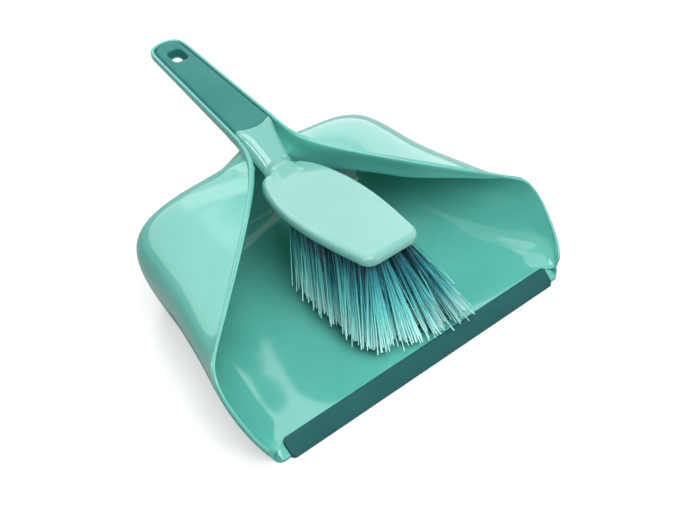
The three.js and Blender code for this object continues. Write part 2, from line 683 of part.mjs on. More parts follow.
// One bristle: a thin three-sided spike from inside the backing to its trimmed tip
function strand(x, behind, index) {
  const sides = 3;
  const first = backingEdge(0);
  const share = (behind - first) / (backingEdge(BACKING_SLICES) - first);
  const forward = lerp(FRONT_LEAN, REAR_LEAN, share);
  const splay = lerp(FRONT_SPLAY, REAR_SPLAY, share) * (x / BLOCK_MAX_HALF);
  const sideways = splay + lerp(FRONT_SWAY, REAR_SWAY, share);
  const direction = vec(Math.tan(sideways), -Math.tan(forward), -1);
  const root = vec(x, BLOCK_FRONT_Y + behind, BLOCK_BASE);
  const tip = root.clone().addScaledVector(direction, BRISTLE_LENGTH);
  tip.x += TIP_STRAY * Math.min(Math.max(stray(index, 1), -1), 1);
  tip.y += TIP_STRAY * Math.min(Math.max(stray(index, 2), -1), 1);
  const bedded = root.clone().addScaledVector(direction, -BACKING_THICKNESS / 3);
  const ring = (centre, radius) => Array.from({ length: sides }, (_, i) => {
    const angle = (i / sides) * 2 * Math.PI + index;
    return vec(centre.x + radius * Math.cos(angle), centre.y + radius * Math.sin(angle), centre.z);
  });
  const points = [...ring(bedded, BRISTLE_ROOT), ...ring(tip, BRISTLE_TIP)];
  const geometry = new THREE.BufferGeometry().setFromPoints(points);
  geometry.setIndex([0, 1, 2, 3, 5, 4, 0, 3, 1, 1, 3, 4, 1, 4, 2, 2, 4, 5, 2, 5, 0, 0, 5, 3]);
  return geometry;
}

function bristleRows(slice) {
  const plate = backingPlate(slice, 0, BLOCK_BASE + BACKING_THICKNESS);
  const strands = [];
  tuftsIn(slice).forEach(({ x, behind, columnPitch, rowPitch }, tuft) => {
    for (let i = 0; i < STRANDS_ACROSS_TUFT; i += 1) {
      for (let j = 0; j < STRANDS_ACROSS_TUFT; j += 1) {
        const dx = ((i + 0.5) / STRANDS_ACROSS_TUFT - 0.5) * columnPitch;
        const dy = ((j + 0.5) / STRANDS_ACROSS_TUFT - 0.5) * rowPitch;
        strands.push(strand(x + dx, behind + dy, strands.length + 100 * slice + tuft));
      }
    }
  });
  return plate.add(toSolid(mergeGeometries(strands)));
}

function tuftHole({ x, behind }) {
  const depth = TUFT_HOLE_DEPTH + BACKING_THICKNESS;
  const geometry = new THREE.CylinderGeometry(TUFT_HOLE_RADIUS, TUFT_HOLE_RADIUS, depth, HOLE_SIDES);
  geometry.rotateX(Math.PI / 2);
  geometry.translate(x, BLOCK_FRONT_Y + behind, tuftHoleEnd - depth / 2);
  return geometry;
}

function tuftAnchor({ x, behind }) {
  const geometry = new THREE.BoxGeometry(ANCHOR_WIDTH, ANCHOR_THICKNESS, ANCHOR_HEIGHT);
  geometry.translate(x, BLOCK_FRONT_Y + behind, tuftHoleEnd - SEAT_GAP - ANCHOR_HEIGHT / 2);
  return toSolid(geometry);
}

const backingSeat = BLOCK_BASE + BACKING_THICKNESS + SEAT_GAP;
const tuftHoleEnd = backingSeat + TUFT_HOLE_DEPTH;
const slices = Array.from({ length: BACKING_SLICES }, (_, slice) => slice);
const tufts = slices.flatMap(tuftsIn);

const wholeBrush = brushBlock().add(neckAndHandle()).subtract(hangHole(0));
const recess = slices
  .map((slice) => backingPlate(slice, SEAT_GAP, backingSeat))
  .reduce((joined, plate) => joined.add(plate));
const brushBody = wholeBrush
  .subtract(gripRegion(SEAT_GAP))
  .subtract(recess)
  .subtract(toSolid(mergeGeometries(tufts.map(tuftHole))));

// The set

const dustpan = new THREE.Group();
const pan = panPieces();
dustpan.add(toMesh('pan_shell', pan.shell, MINT, 0.32));
dustpan.add(toMesh('pan_floor', pan.floor, MINT, 0.32));
dustpan.add(toMesh('pan_handle', pan.handle, MINT, 0.32));
dustpan.add(toMesh('rubber_lip', rubberLip(), DARK_TEAL, 0.6));

const handBrush = new THREE.Group();
handBrush.add(toMesh('brush_body', brushBody, PALE_MINT, 0.3));
handBrush.add(toMesh('soft_grip', wholeBrush.intersect(gripRegion(0)), GRIP_TEAL, 0.55));
for (const slice of slices) {
  handBrush.add(toMesh(`bristle_rows_${slice + 1}`, bristleRows(slice), BRISTLE_TEAL, 0.5));
}
tufts.forEach((tuft, i) => {
  const number = String(i + 1).padStart(2, '0');
  handBrush.add(toMesh(`tuft_anchor_${number}`, tuftAnchor(tuft), STEEL, 0.35, 1));
});

// The origin is on the ground, under the middle of the set
const set = new THREE.Group();
set.add(dustpan, handBrush);
const box = new THREE.Box3().setFromObject(set);
set.position.y = -(box.min.y + box.max.y) / 2;

export default set;
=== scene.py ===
"""A dustpan with its hand brush lying in it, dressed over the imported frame.

Shapes are worked out in millimetres, with y running back from the lip's front edge and z up from the
ground, and put into the frame in metres.
"""

import math

import bpy
import numpy as np
from mathutils import Matrix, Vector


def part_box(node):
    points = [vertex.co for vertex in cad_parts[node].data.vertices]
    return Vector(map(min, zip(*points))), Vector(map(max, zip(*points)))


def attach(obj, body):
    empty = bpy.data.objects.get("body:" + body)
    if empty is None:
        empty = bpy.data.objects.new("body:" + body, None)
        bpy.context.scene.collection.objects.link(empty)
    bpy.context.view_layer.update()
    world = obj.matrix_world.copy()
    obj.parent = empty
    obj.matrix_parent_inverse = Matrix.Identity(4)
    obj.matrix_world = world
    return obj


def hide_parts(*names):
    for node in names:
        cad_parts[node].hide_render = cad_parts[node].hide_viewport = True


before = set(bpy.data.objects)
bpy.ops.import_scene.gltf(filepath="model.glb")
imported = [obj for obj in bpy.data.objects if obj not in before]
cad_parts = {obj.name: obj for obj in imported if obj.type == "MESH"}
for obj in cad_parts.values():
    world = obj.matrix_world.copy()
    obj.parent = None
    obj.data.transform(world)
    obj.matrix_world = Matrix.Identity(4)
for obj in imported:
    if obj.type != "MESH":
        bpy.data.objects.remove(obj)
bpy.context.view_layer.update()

MM = 0.001
SHIFT_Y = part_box("rubber_lip")[0][1]
RNG = np.random.default_rng(7)

# Pan
WALL = 2.4
PAN_DEPTH = 200
FRONT_HALF, FRONT_SETBACK, FRONT_HEIGHT = 140, 3, 4.5
FLARE_HALF, SHOULDER_ROUND, SHOULDER_Y, SHOULDER_HEIGHT = 155.9, 6, 57, 61
BASE_SHOULDER_HALF, BASE_REAR_HALF, BASE_REAR_ROUND, BASE_CREST_HALF = 135, 99, 14, 66
HOOD_FLARE, HOOD_SIDE_HEIGHT = 21, 55
HOOD_REAR_FLARE, HOOD_REAR_HEIGHT, HOOD_REAR_OVERHANG = 31, 80, 20
HOOD_CREST_HALF, HOOD_CREST_HEIGHT = 71, 84
HOOD_BACK_HEIGHT, HOOD_BACK_OVERHANG = 58, 4
MOUTH_NECK_Y, MOUTH_NECK_HEIGHT, MOUTH_NECK_FLARE = 162.5, 101, 1
FLANGE_HEIGHT, THROAT_HEIGHT, THROAT_ROOT_HEIGHT = 17, 28, 16
RAMP_HEIGHT, RAMP_LENGTH = 8, 48
LIP_LENGTH, LIP_DEPTH, LIP_HEIGHT, LIP_CORNER = 260, 13, 10, 4
LIP_NOSE_RADIUS, LIP_CROWN, LIP_BACK_ROUND, LIP_BACK_DROP = 0.55, 1.2, 1.3, 1.45
SEAT_GAP = 0.3
LIP_SEAT_Y = LIP_DEPTH + SEAT_GAP
FRONT_BEAD, RIDGE_BEAD, CHANNEL_BEAD = 1.2, 2.2, 1.15
BEAD_COVER = 0.8
FLOOR_EDGE, FRONT_ROUND = 1.2, 5
COVE, COVE_START, COVE_GROWTH, COVE_BURIED = 24, 0.35, 24, 1.1

# Brush
BLOCK_FRONT_Y, BLOCK_LENGTH, BLOCK_WIDEST = 41, 124, 68
BLOCK_FRONT_HALF, BLOCK_MAX_HALF, BLOCK_REAR_HALF, BLOCK_CORNER = 27, 33.5, 13, 11
BLOCK_EDGE, BLOCK_UNDER_EDGE = 4.5, 3.5
BLOCK_BASE, BLOCK_TOP = 76.4, 85.4
BLOCK_REAR_Y = BLOCK_FRONT_Y + BLOCK_LENGTH
BRISTLE_LENGTH = 64
FRONT_LEAN, REAR_LEAN = math.radians(27), math.radians(9)
FRONT_SPLAY, REAR_SPLAY = math.radians(33), math.radians(21)
FRONT_SWAY, REAR_SWAY = math.radians(8), math.radians(16)
BACKING_MARGIN, BACKING_REAR_MARGIN, BACKING_SLICES = 6, 34, 4
TUFT_ROWS, TUFT_COLUMNS = 3, 4
TUFT_ACROSS, TUFT_ALONG = 3.4, 3.2

# Handle
TILT = math.radians(11.5)
ROOT_Y, ROOT_Z = 194, 110.4
HANDLE_LENGTH, HANDLE_THICKNESS, HANDLE_END_THICKNESS = 110, 15, 7
HANDLE_ROOT_HALF, HANDLE_END_HALF, HANDLE_END_ROUND = 16.5, 12.6, 11
HANDLE_EDGE, HANDLE_UNDER_EDGE, HANDLE_END_UNDER_EDGE = 3.5, 11, 3.2
NECK_FOOT_HALF, NECK_FOOT_BURIED, NECK_FOOT_THICKNESS = 12, 22, 8
NECK_FOOT_SUNK, NECK_FOOT_REACH, NECK_ROOT_REACH = 1.5, 20, 14
GRIP_THICKNESS, GRIP_FRONT, GRIP_SWEEP = 2.6, -3, 4.5
HOLE_SIZE, HOLE_CORNER, HOLE_FROM_END, PAN_HOLE_MARGIN = 13, 3.2, 17.5, 0.6
HOLE_ABOVE, HOLE_BOTTOM = 12, -40
# The dark rubber sleeve through the hang hole, partly painted shade for the inside of the hole
SHADE_SLEEVE, SHADE_SLEEVE_TOP, SHADE_SLEEVE_BOTTOM = 1.0, -1.4, -7.3
CHANNEL_GAP, CHANNEL_RIM_DROP, CHANNEL_FRONT = 0.9, 1, 6
CHANNEL_INSET, CHANNEL_TOP_EDGE = 0.13, 0.5
CHANNEL_SIDE = HANDLE_ROOT_HALF + CHANNEL_GAP + WALL
CHANNEL_FLOOR = HANDLE_THICKNESS + SEAT_GAP
CHANNEL_UNDER_EDGE = HANDLE_UNDER_EDGE + CHANNEL_GAP + WALL
CHANNEL_STRAIGHT = CHANNEL_FLOOR + WALL - CHANNEL_UNDER_EDGE

HANDLE_NORMAL = np.array([0, -math.sin(TILT), math.cos(TILT)])


# Sums

def lerp(a, b, t):
    return a + (b - a) * t


def smooth(x, low, high):
    t = np.clip((np.asarray(x, float) - low) / (high - low), 0, 1)
    return t * t * (3 - 2 * t)


def soft_max(a, b, reach):
    near = np.maximum(reach - np.abs(a - b), 0) / reach
    return np.maximum(a, b) + near * near * reach / 4


def vec(x, y, z):
    return np.stack(np.broadcast_arrays(*(np.asarray(v, float) for v in (x, y, z))), axis=-1)


def unit(v):
    return v / np.maximum(np.linalg.norm(v, axis=-1, keepdims=True), 1e-9)


def bezier(a, b, c, d, t):
    s = 1 - t
    return s**3 * a + 3 * s * s * t * b + 3 * s * t * t * c + t**3 * d


def rounding(across, half, radius, fall):
    """How far a face drops below its flat middle at a distance across, past its rounded edge too."""
    into = np.clip(across - (half - radius), 0, radius)
    return radius - np.sqrt(radius**2 - into**2) + np.maximum(across - half, 0) * fall


def on_handle(across, along, above):
    across, along, above = (np.asarray(v, float) for v in (across, along, above))
    y = ROOT_Y + along * math.cos(TILT) - above * math.sin(TILT)
    z = ROOT_Z + along * math.sin(TILT) + above * math.cos(TILT)
    return vec(across, y, z)


def spline(points, steps):
    """A smooth curve through points, with a number of steps between each two."""
    points = np.asarray(points, float)
    ends = np.vstack([2 * points[0] - points[1], points, 2 * points[-1] - points[-2]])
    curve = []
    for i in range(len(points) - 1):
        p0, p1, p2, p3 = ends[i:i + 4]
        d0, d1, d2 = (max(np.linalg.norm(b - a), 1e-6) ** 0.5 for a, b in ((p0, p1), (p1, p2), (p2, p3)))
        t1 = ((p1 - p0) / d0 - (p2 - p0) / (d0 + d1) + (p2 - p1) / d1) * d1
        t2 = ((p2 - p1) / d1 - (p3 - p1) / (d1 + d2) + (p3 - p2) / d2) * d1
        t = np.arange(steps)[:, None] / steps
        curve.append(p1 + t1 * t + (3 * (p2 - p1) - 2 * t1 - t2) * t**2 + (2 * (p1 - p2) + t1 + t2) * t**3)
    return np.vstack([*curve, points[-1:]])


def relaxed(curve, reach):
    """A curve with its waves evened out over a reach of samples, its ends kept."""
    offsets = np.arange(-3 * reach, 3 * reach + 1)
    weights = np.exp(-0.5 * (offsets / reach) ** 2)
    weights /= weights.sum()
    pad = 3 * reach
    before = 2 * curve[0] - curve[pad:0:-1]
    after = 2 * curve[-1] - curve[-2:-pad - 2:-1]
    long = np.vstack([before, curve, after])
    return np.stack([np.convolve(long[:, k], weights, "valid") for k in range(curve.shape[1])], axis=1)


def mirrored(points):
    return points * np.array([-1, 1, 1])


def both_halves(right):
    """A run of points or sections over the right half, carried on over the left."""
    return np.concatenate([right, mirrored(right[:-1][::-1])])


# Meshes

def add_mesh(name, points, faces):
    mesh = bpy.data.meshes.new(name)
    placed = np.asarray(points, float).reshape(-1, 3) * MM + np.array([0, SHIFT_Y, 0])
    mesh.from_pydata(placed.tolist(), [], [tuple(int(i) for i in face) for face in faces])
    mesh.validate()
    piece = bpy.data.objects.new(name, mesh)
    bpy.context.scene.collection.objects.link(piece)
    return piece


def signed_volume(points, faces):
    total = 0.0
    for face in faces:
        a = points[face[0]]
        for b, c in zip(face[1:-1], face[2:]):
            total += np.dot(a, np.cross(points[b], points[c]))
    return total


def closed(name, points, faces):
    points = np.asarray(points, float).reshape(-1, 3)
    if signed_volume(points, faces) < 0:
        faces = [face[::-1] for face in faces]
    return add_mesh(name, points, faces)


def wall_between(name, outer, inner):
    rows, columns = outer.shape[:2]
    out = np.arange(rows * columns).reshape(rows, columns)
    into = out + rows * columns
    faces = []
    for i in range(rows - 1):
        for j in range(columns - 1):
            faces.append([out[i, j], out[i + 1, j], out[i + 1, j + 1], out[i, j + 1]])
            faces.append([into[i, j], into[i, j + 1], into[i + 1, j + 1], into[i + 1, j]])
        faces.append([out[i, 0], into[i, 0], into[i + 1, 0], out[i + 1, 0]])
        faces.append([out[i, -1], out[i + 1, -1], into[i + 1, -1], into[i, -1]])
    for j in range(columns - 1):
        faces.append([out[0, j], out[0, j + 1], into[0, j + 1], into[0, j]])
        faces.append([out[-1, j], into[-1, j], into[-1, j + 1], out[-1, j + 1]])
    return closed(name, np.concatenate([outer.reshape(-1, 3), inner.reshape(-1, 3)]), faces)


def loft(name, rings):
    rings = np.asarray(rings, float)
    count, around = rings.shape[:2]
    index = np.arange(count * around).reshape(count, around)
    faces = []
    for i in range(count - 1):
        for j in range(around):
            k = (j + 1) % around
            faces.append([index[i, j], index[i, k], index[i + 1, k], index[i + 1, j]])
    faces.append(list(index[0][::-1]))
    faces.append(list(index[-1]))
    return closed(name, rings, faces)


def combine(target, tool, operation):
    step = target.modifiers.new("combine", "BOOLEAN")
    step.operation = operation
    step.solver = "MANIFOLD"
    step.object = tool
    bpy.context.view_layer.update()
    graph = bpy.context.evaluated_depsgraph_get()
    mesh = bpy.data.meshes.new_from_object(target.evaluated_get(graph))
    target.modifiers.clear()
    target.data = mesh
    bpy.data.objects.remove(tool)


def copy_of(piece, name):
    twin = piece.copy()
    twin.data = piece.data.copy()
    twin.name = name
    bpy.context.scene.collection.objects.link(twin)
    return twin


def shade(piece, degrees):
    piece.data.shade_smooth()
    piece.data.set_sharp_from_angle(angle=math.radians(degrees))


def ring_across(half, thickness, top_edge, under_edge, steps=9):
    """(x, z) round a bar with a flat top at z 0 and rounded edges."""
    ring = []
    corners = (
        (1, -thickness + under_edge, under_edge, -90),
        (1, -top_edge, top_edge, 0),
        (-1, -top_edge, top_edge, 90),
        (-1, -thickness + under_edge, under_edge, 180),
    )
    for sign, level, radius, start in corners:
        middle = sign * (half - radius)
        for angle in np.radians(start + np.linspace(0, 90, steps)):
            ring.append((middle + radius * math.cos(angle), level + radius * math.sin(angle)))
    return np.array(ring)


def rounded_square(half, radius, steps=7):
    points = []
    for sx, sy, start in ((1, -1, -90), (1, 1, 0), (-1, 1, 90), (-1, -1, 180)):
        for angle in np.radians(start + np.linspace(0, 90, steps)):
            points.append((sx * (half - radius) + radius * math.cos(angle),
                           sy * (half - radius) + radius * math.sin(angle)))
    return np.array(points)


# How far below a top face the hang hole's edge has which share of its flare
HOLE_EDGE = ((0, 1), (0.3, 0.5), (0.8, 0.15), (1.5, 0))


def hang_hole(margin, top, flare=0.9):
    """A cutter for the hang hole, opened a little at a top face."""
    middle = HANDLE_LENGTH - HOLE_FROM_END
    levels = [(top + HOLE_ABOVE, flare)]
    levels += [(top - below, flare * share) for below, share in HOLE_EDGE]
    levels.append((HOLE_BOTTOM, 0))
    rings = []
    for level, grown in levels:
        square = rounded_square(HOLE_SIZE / 2 + margin + grown, HOLE_CORNER + margin + grown)
        rings.append(on_handle(square[:, 0], middle + square[:, 1], level))
    return loft("hole", rings)


# Pan

def ridge_curve():
    """The ridge of the mouth, from the right shoulder to the root of the handle, as control points."""
    shoulder = vec(FLARE_HALF - SHOULDER_ROUND, SHOULDER_Y, SHOULDER_HEIGHT)
    neck = vec(CHANNEL_SIDE + MOUTH_NECK_FLARE, MOUTH_NECK_Y, MOUTH_NECK_HEIGHT)
    root = on_handle(CHANNEL_SIDE, 0, -CHANNEL_RIM_DROP)
    return shoulder, neck, neck, root


RIDGE = ridge_curve()


def ridge_at(share):
    share = np.asarray(share, float)[..., None]
    return bezier(*RIDGE, share)


def front_point(across, along, up):
    return vec(lerp(FRONT_HALF, FLARE_HALF, across), lerp(FRONT_SETBACK, SHOULDER_Y, along),
               lerp(FRONT_HEIGHT, SHOULDER_HEIGHT, up))


def inside_channel_wall(turn):
    radius = CHANNEL_UNDER_EDGE - WALL / 2
    across = CHANNEL_SIDE - CHANNEL_UNDER_EDGE + radius * math.cos(turn)
    below = CHANNEL_STRAIGHT + radius * math.sin(turn)
    return on_handle(0 if turn >= math.pi / 2 else across, WALL / 2 - CHANNEL_FRONT, -below)


FRONT_WALL = (
    (0, (-0.05, 0, -0.045), (0, 0, 0)),
    (0.2, (0.35, 0.21, 0.07), (0.6, 0.19, 0.25)),
    (0.6, (0.6, 0.66, 0.28), (1, 0.7, 0.74)),
)
SHOULDER_CORNER = (0.75, 1.1, 0.68)
WING = ((0.3, 0.12, 0.08), (0.63, 0.45, 0.21), (1, 1, 0.42))
CREST_RIDGE, CREST_DOWN = 0.68, 0.15
BACK_TURNS = (0.3, 0.38, 0.45, 0.5)
HOOD_STEPS = 16
SECTION_STEPS = 26
SHOULDER_STATION = len(FRONT_WALL)
CREST_STATION = SHOULDER_STATION + len(WING) + 1
WALL_PULL, TOP_PULL = 0.9, 0.85
FLANGE_START, FLANGE_FULL, THROAT_FULL = 0.2, 0.25, 0.7


def hood_curves():
    """Curves on the ground, along the hood's outer corner and along its rim, over the right half."""
    grounds, corners, rims = [], [], []
    for ground, corner, rim in FRONT_WALL:
        half = lerp(FRONT_HALF, BASE_SHOULDER_HALF, ground**2)
        grounds.append((half, lerp(FRONT_SETBACK, SHOULDER_Y, ground), 0))
        corners.append(front_point(*corner))
        rims.append(front_point(*rim))
    grounds.append((BASE_SHOULDER_HALF, SHOULDER_Y, 0))
    corners.append(front_point(*SHOULDER_CORNER))
    rims.append(ridge_at(0))
    for back, bulge, share in WING:
        half = lerp(BASE_SHOULDER_HALF, BASE_REAR_HALF, back)
        y = lerp(SHOULDER_Y, PAN_DEPTH - BASE_REAR_ROUND, back)
        grounds.append((half, y, 0))
        corners.append((half + lerp(HOOD_FLARE, HOOD_REAR_FLARE, bulge), y + HOOD_REAR_OVERHANG * bulge,
                        lerp(HOOD_SIDE_HEIGHT, HOOD_REAR_HEIGHT, bulge)))
        rims.append(ridge_at(share))
    grounds.append((BASE_CREST_HALF, PAN_DEPTH, 0))
    corners.append((HOOD_CREST_HALF, PAN_DEPTH + HOOD_BACK_OVERHANG, HOOD_CREST_HEIGHT))
    rims.append(ridge_at(CREST_RIDGE) - CREST_DOWN * FLANGE_HEIGHT * HANDLE_NORMAL)
    for i, turn in enumerate(BACK_TURNS):
        share = 1 - (i + 1) / len(BACK_TURNS)
        grounds.append((BASE_CREST_HALF * share, PAN_DEPTH, 0))
        corners.append((HOOD_CREST_HALF * share, PAN_DEPTH + HOOD_BACK_OVERHANG, HOOD_BACK_HEIGHT))
        rims.append(inside_channel_wall(turn * math.pi))
    return [spline(points, HOOD_STEPS) for points in (grounds, corners, rims)]


def hood_sections():
    """Sections of the outer face from the ground to the rim, over the right half."""
    ground, corner, rim = hood_curves()
    corner = relaxed(corner, 3)
    ground = relaxed(ground, 3)
    ground[:, 2] = 0
    wing = slice(SHOULDER_STATION * HOOD_STEPS, CREST_STATION * HOOD_STEPS + 1)
    station = np.arange(wing.start, wing.stop) / HOOD_STEPS
    stops = np.arange(SHOULDER_STATION, CREST_STATION + 1)
    shares = np.interp(station, stops, (0, *(share for *_, share in WING), CREST_RIDGE))
    shares = np.clip(relaxed(shares[:, None], 4)[:, 0], 0, 1)
    down = BEAD_COVER * smooth(station, SHOULDER_STATION, SHOULDER_STATION + 0.6)
    down = down + CREST_DOWN * FLANGE_HEIGHT * smooth(station, CREST_STATION - 1, CREST_STATION)
    rim[wing] = ridge_at(shares) - down[:, None] * HANDLE_NORMAL
    t = np.linspace(0, 1, SECTION_STEPS)[None, :, None]
    wall = lerp(ground, corner, WALL_PULL)
    top = lerp(rim, corner, TOP_PULL)
    return bezier(ground[:, None], wall[:, None], top[:, None], rim[:, None], t)


def inner_face(grid, thickness):
    along = np.gradient(grid, axis=0)
    up = np.gradient(grid, axis=1)
    inner = grid - thickness * unit(np.cross(along, up))
    inner[..., 2] = np.maximum(inner[..., 2], 0)
    inner[:, 0, 2] = 0
    return inner


def flange_height(share):
    grown = FLANGE_HEIGHT * lerp(FLANGE_START, 1, smooth(share, 0, FLANGE_FULL))
    deepened = lerp(grown, THROAT_HEIGHT, smooth(share, FLANGE_FULL, THROAT_FULL))
    return lerp(deepened, THROAT_ROOT_HEIGHT, smooth(share, THROAT_FULL, 1))


def turned_in(depth):
    """How far the wall of the channel has turned in at a depth below its rim."""
    rest = np.clip(depth - CHANNEL_STRAIGHT + CHANNEL_RIM_DROP, 0, CHANNEL_UNDER_EDGE)
    return CHANNEL_UNDER_EDGE - np.sqrt(CHANNEL_UNDER_EDGE**2 - rest**2)


def handle_places(margin, steps=14):
    """Half widths and distances along the handle from its root round its end, grown by a margin."""
    straight = HANDLE_LENGTH - HANDLE_END_ROUND
    along = list(np.linspace(0, straight, 12)[:-1])
    half = [lerp(HANDLE_ROOT_HALF, HANDLE_END_HALF, a / straight) + margin for a in along]
    for angle in np.linspace(0, math.pi / 2, steps):
        half.append((HANDLE_END_HALF + margin) * max(math.cos(angle), 0) ** 0.7)
        along.append(straight + (HANDLE_END_ROUND + margin) * math.sin(angle) ** 0.7)
    return np.array(half), np.array(along)


def rim_path(outer, inner):
    """The middle of the bead along the rim, its radius, the flange's depth below it and the flange's curl."""
    shoulder = SHOULDER_STATION * HOOD_STEPS
    front = lerp(outer[:shoulder, -1], inner[:shoulder, -1], 0.56)
    share = np.linspace(0, 1, 90)
    ridge = ridge_at(share)
    inward = unit(np.cross(HANDLE_NORMAL, np.gradient(ridge, axis=0)))
    bead = lerp(FRONT_BEAD, RIDGE_BEAD, smooth(share, 0, 0.2))
    bead = bead - (RIDGE_BEAD - CHANNEL_BEAD) * smooth(share, 0.65, 1)
    ridge = ridge + 0.9 * inward - bead[:, None] * HANDLE_NORMAL
    half, along = handle_places(CHANNEL_GAP + WALL / 2)
    channel = on_handle(half, along, -CHANNEL_RIM_DROP - CHANNEL_BEAD)[1:]
    path = np.concatenate([front, ridge, channel])
    radius = np.concatenate([np.full(len(front), FRONT_BEAD), bead, np.full(len(channel), CHANNEL_BEAD)])
    hanging = flange_height(share) * smooth(share, 0, 0.06)
    depth = np.concatenate([np.zeros(len(front)), hanging, np.full(len(channel), THROAT_ROOT_HEIGHT)])
    depth[-len(channel):] *= 1 - smooth(along[1:], 0, 14)
    curl = np.concatenate([np.zeros(len(front)), smooth(share, 0.55, 1), np.ones(len(channel))])
    smoothed = relaxed(path, 2)
    smoothed[0], smoothed[-1] = path[0], path[-1]
    return smoothed, radius, depth, curl


def rim_bead(outer, inner):
    path, *rest = rim_path(outer, inner)
    path = both_halves(path)
    radius, depth, curl = (np.concatenate([values, values[-2::-1]])[:, None] for values in rest)
    along = unit(np.gradient(path, axis=0))
    inward = unit(np.cross(HANDLE_NORMAL, along))
    over = np.cross(along, inward)
    hang = np.maximum(depth - WALL / 2, 0.4)
    foot = lerp(radius, WALL / 2, smooth(hang, 0, 6))

    def wall(share, side):
        down = hang * share
        middle = path - down * HANDLE_NORMAL + curl * turned_in(down + radius) * inward
        return middle + side * lerp(radius, foot, smooth(share, 0, 0.6)) * inward

    rings = [path + radius * (math.cos(a) * inward + math.sin(a) * over)
             for a in np.linspace(0, math.pi, 12)]
    rings += [wall(share, -1) for share in np.linspace(0.14, 1, 7)]
    low = path - hang * HANDLE_NORMAL + curl * turned_in(hang + radius) * inward
    rings += [low + foot * (math.cos(a) * inward - math.sin(a) * HANDLE_NORMAL)
              for a in np.radians((150, 120, 90, 60, 30))]
    rings += [wall(share, 1) for share in np.linspace(1, 0.14, 7)]
    return loft("rim", np.stack(rings, axis=1))


def handle_channel():
    """The channel's outside, a little inside the CAD's so that the rim stays in its box, less its inside."""
    outside = (CHANNEL_GAP + WALL - CHANNEL_INSET, -CHANNEL_RIM_DROP - BEAD_COVER, CHANNEL_FLOOR + WALL)
    inside = (CHANNEL_GAP, HANDLE_THICKNESS, CHANNEL_FLOOR)
    solids = []
    for margin, above, depth in (outside, inside):
        half, along = handle_places(margin)
        start = -CHANNEL_FRONT if margin > CHANNEL_GAP else -HANDLE_LENGTH
        half, along = np.append(half[:1], half), np.append([start], along)
        straight = HANDLE_LENGTH - HANDLE_END_ROUND
        rings = []
        for h, a in zip(half[:-1], along[:-1]):
            share = min(max(a / straight, 0), 1)
            thickness = above + depth - share * (HANDLE_THICKNESS - HANDLE_END_THICKNESS)
            under = min(lerp(HANDLE_UNDER_EDGE, HANDLE_END_UNDER_EDGE, share) + margin, h)
            ring = ring_across(h, thickness, CHANNEL_TOP_EDGE, under)
            rings.append(on_handle(ring[:, 0], a, above + ring[:, 1]))
        solids.append(loft("channel", rings))
    combine(solids[0], solids[1], "DIFFERENCE")
    return solids[0]


def floor_height(y):
    crest = LIP_SEAT_Y + WALL
    ramp = 1 - smooth(y, crest - 8, LIP_SEAT_Y + RAMP_LENGTH + 12)
    into = np.clip(LIP_SEAT_Y + FLOOR_EDGE - y, 0, FLOOR_EDGE)
    return WALL + (RAMP_HEIGHT - WALL) * ramp - (FLOOR_EDGE - np.sqrt(FLOOR_EDGE**2 - into**2))


def pan_floor(ground):
    y = np.concatenate([LIP_SEAT_Y + FLOOR_EDGE * (1 - np.cos(np.linspace(0, math.pi / 2, 7))),
                        np.linspace(LIP_SEAT_Y + 2, LIP_SEAT_Y + RAMP_LENGTH + 14, 40),
                        np.linspace(78, PAN_DEPTH - WALL / 2, 30)])
    reach = ground[:, 1].argmax()
    half = np.interp(y, ground[:reach + 1, 1], ground[:reach + 1, 0]) - WALL / 2
    share = np.linspace(-1, 1, 40)
    top = vec(half[:, None] * share, y[:, None], floor_height(y)[:, None] + 0 * share)
    bottom = top * np.array([1, 1, 0])
    return wall_between("floor", top, bottom)


def front_corner(sign):
    """The pad of the pan at one end of the lip, with the lip's rounded corner let into it."""
    low, high = LIP_LENGTH / 2 - LIP_CORNER, FRONT_HALF - WALL / 2
    corner = LIP_CORNER + SEAT_GAP
    into = np.linspace(0, corner, 9)
    x = np.concatenate([low + into, np.linspace(low + corner + 0.01, high, 8)])
    front = np.concatenate([LIP_SEAT_Y - corner + np.sqrt(corner**2 - into**2), np.full(8, FRONT_SETBACK)])
    y = lerp(front, LIP_SEAT_Y + 4, np.linspace(0, 1, 14)[:, None])
    height = lerp(WALL, RAMP_HEIGHT, smooth(y, FRONT_SETBACK, LIP_SEAT_Y))
    share = np.clip((x - low - corner) / (high - low - corner), 0, 1)
    fall = np.sqrt(np.maximum(1 - share**4, 0.05))
    top = vec(sign * x, y, WALL + (height - WALL) * fall)
    return wall_between("corner", top, top * np.array([1, 1, 0]))


def corner_round(sign):
    """A cutter that rounds a front corner of the pan."""
    turn = np.linspace(-math.pi / 2, 0, 12)
    x = FRONT_HALF - FRONT_ROUND + FRONT_ROUND * np.cos(turn)
    y = FRONT_SETBACK + FRONT_ROUND + FRONT_ROUND * np.sin(turn)
    beyond, ahead = FRONT_HALF + 8, FRONT_SETBACK - 3
    outside = [[beyond, FRONT_SETBACK + FRONT_ROUND], [beyond, ahead], [FRONT_HALF - FRONT_ROUND, ahead]]
    plan = np.vstack([np.stack([x, y], axis=1), outside])
    return loft("round", [vec(sign * plan[:, 0], plan[:, 1], level) for level in (-2, 30)])


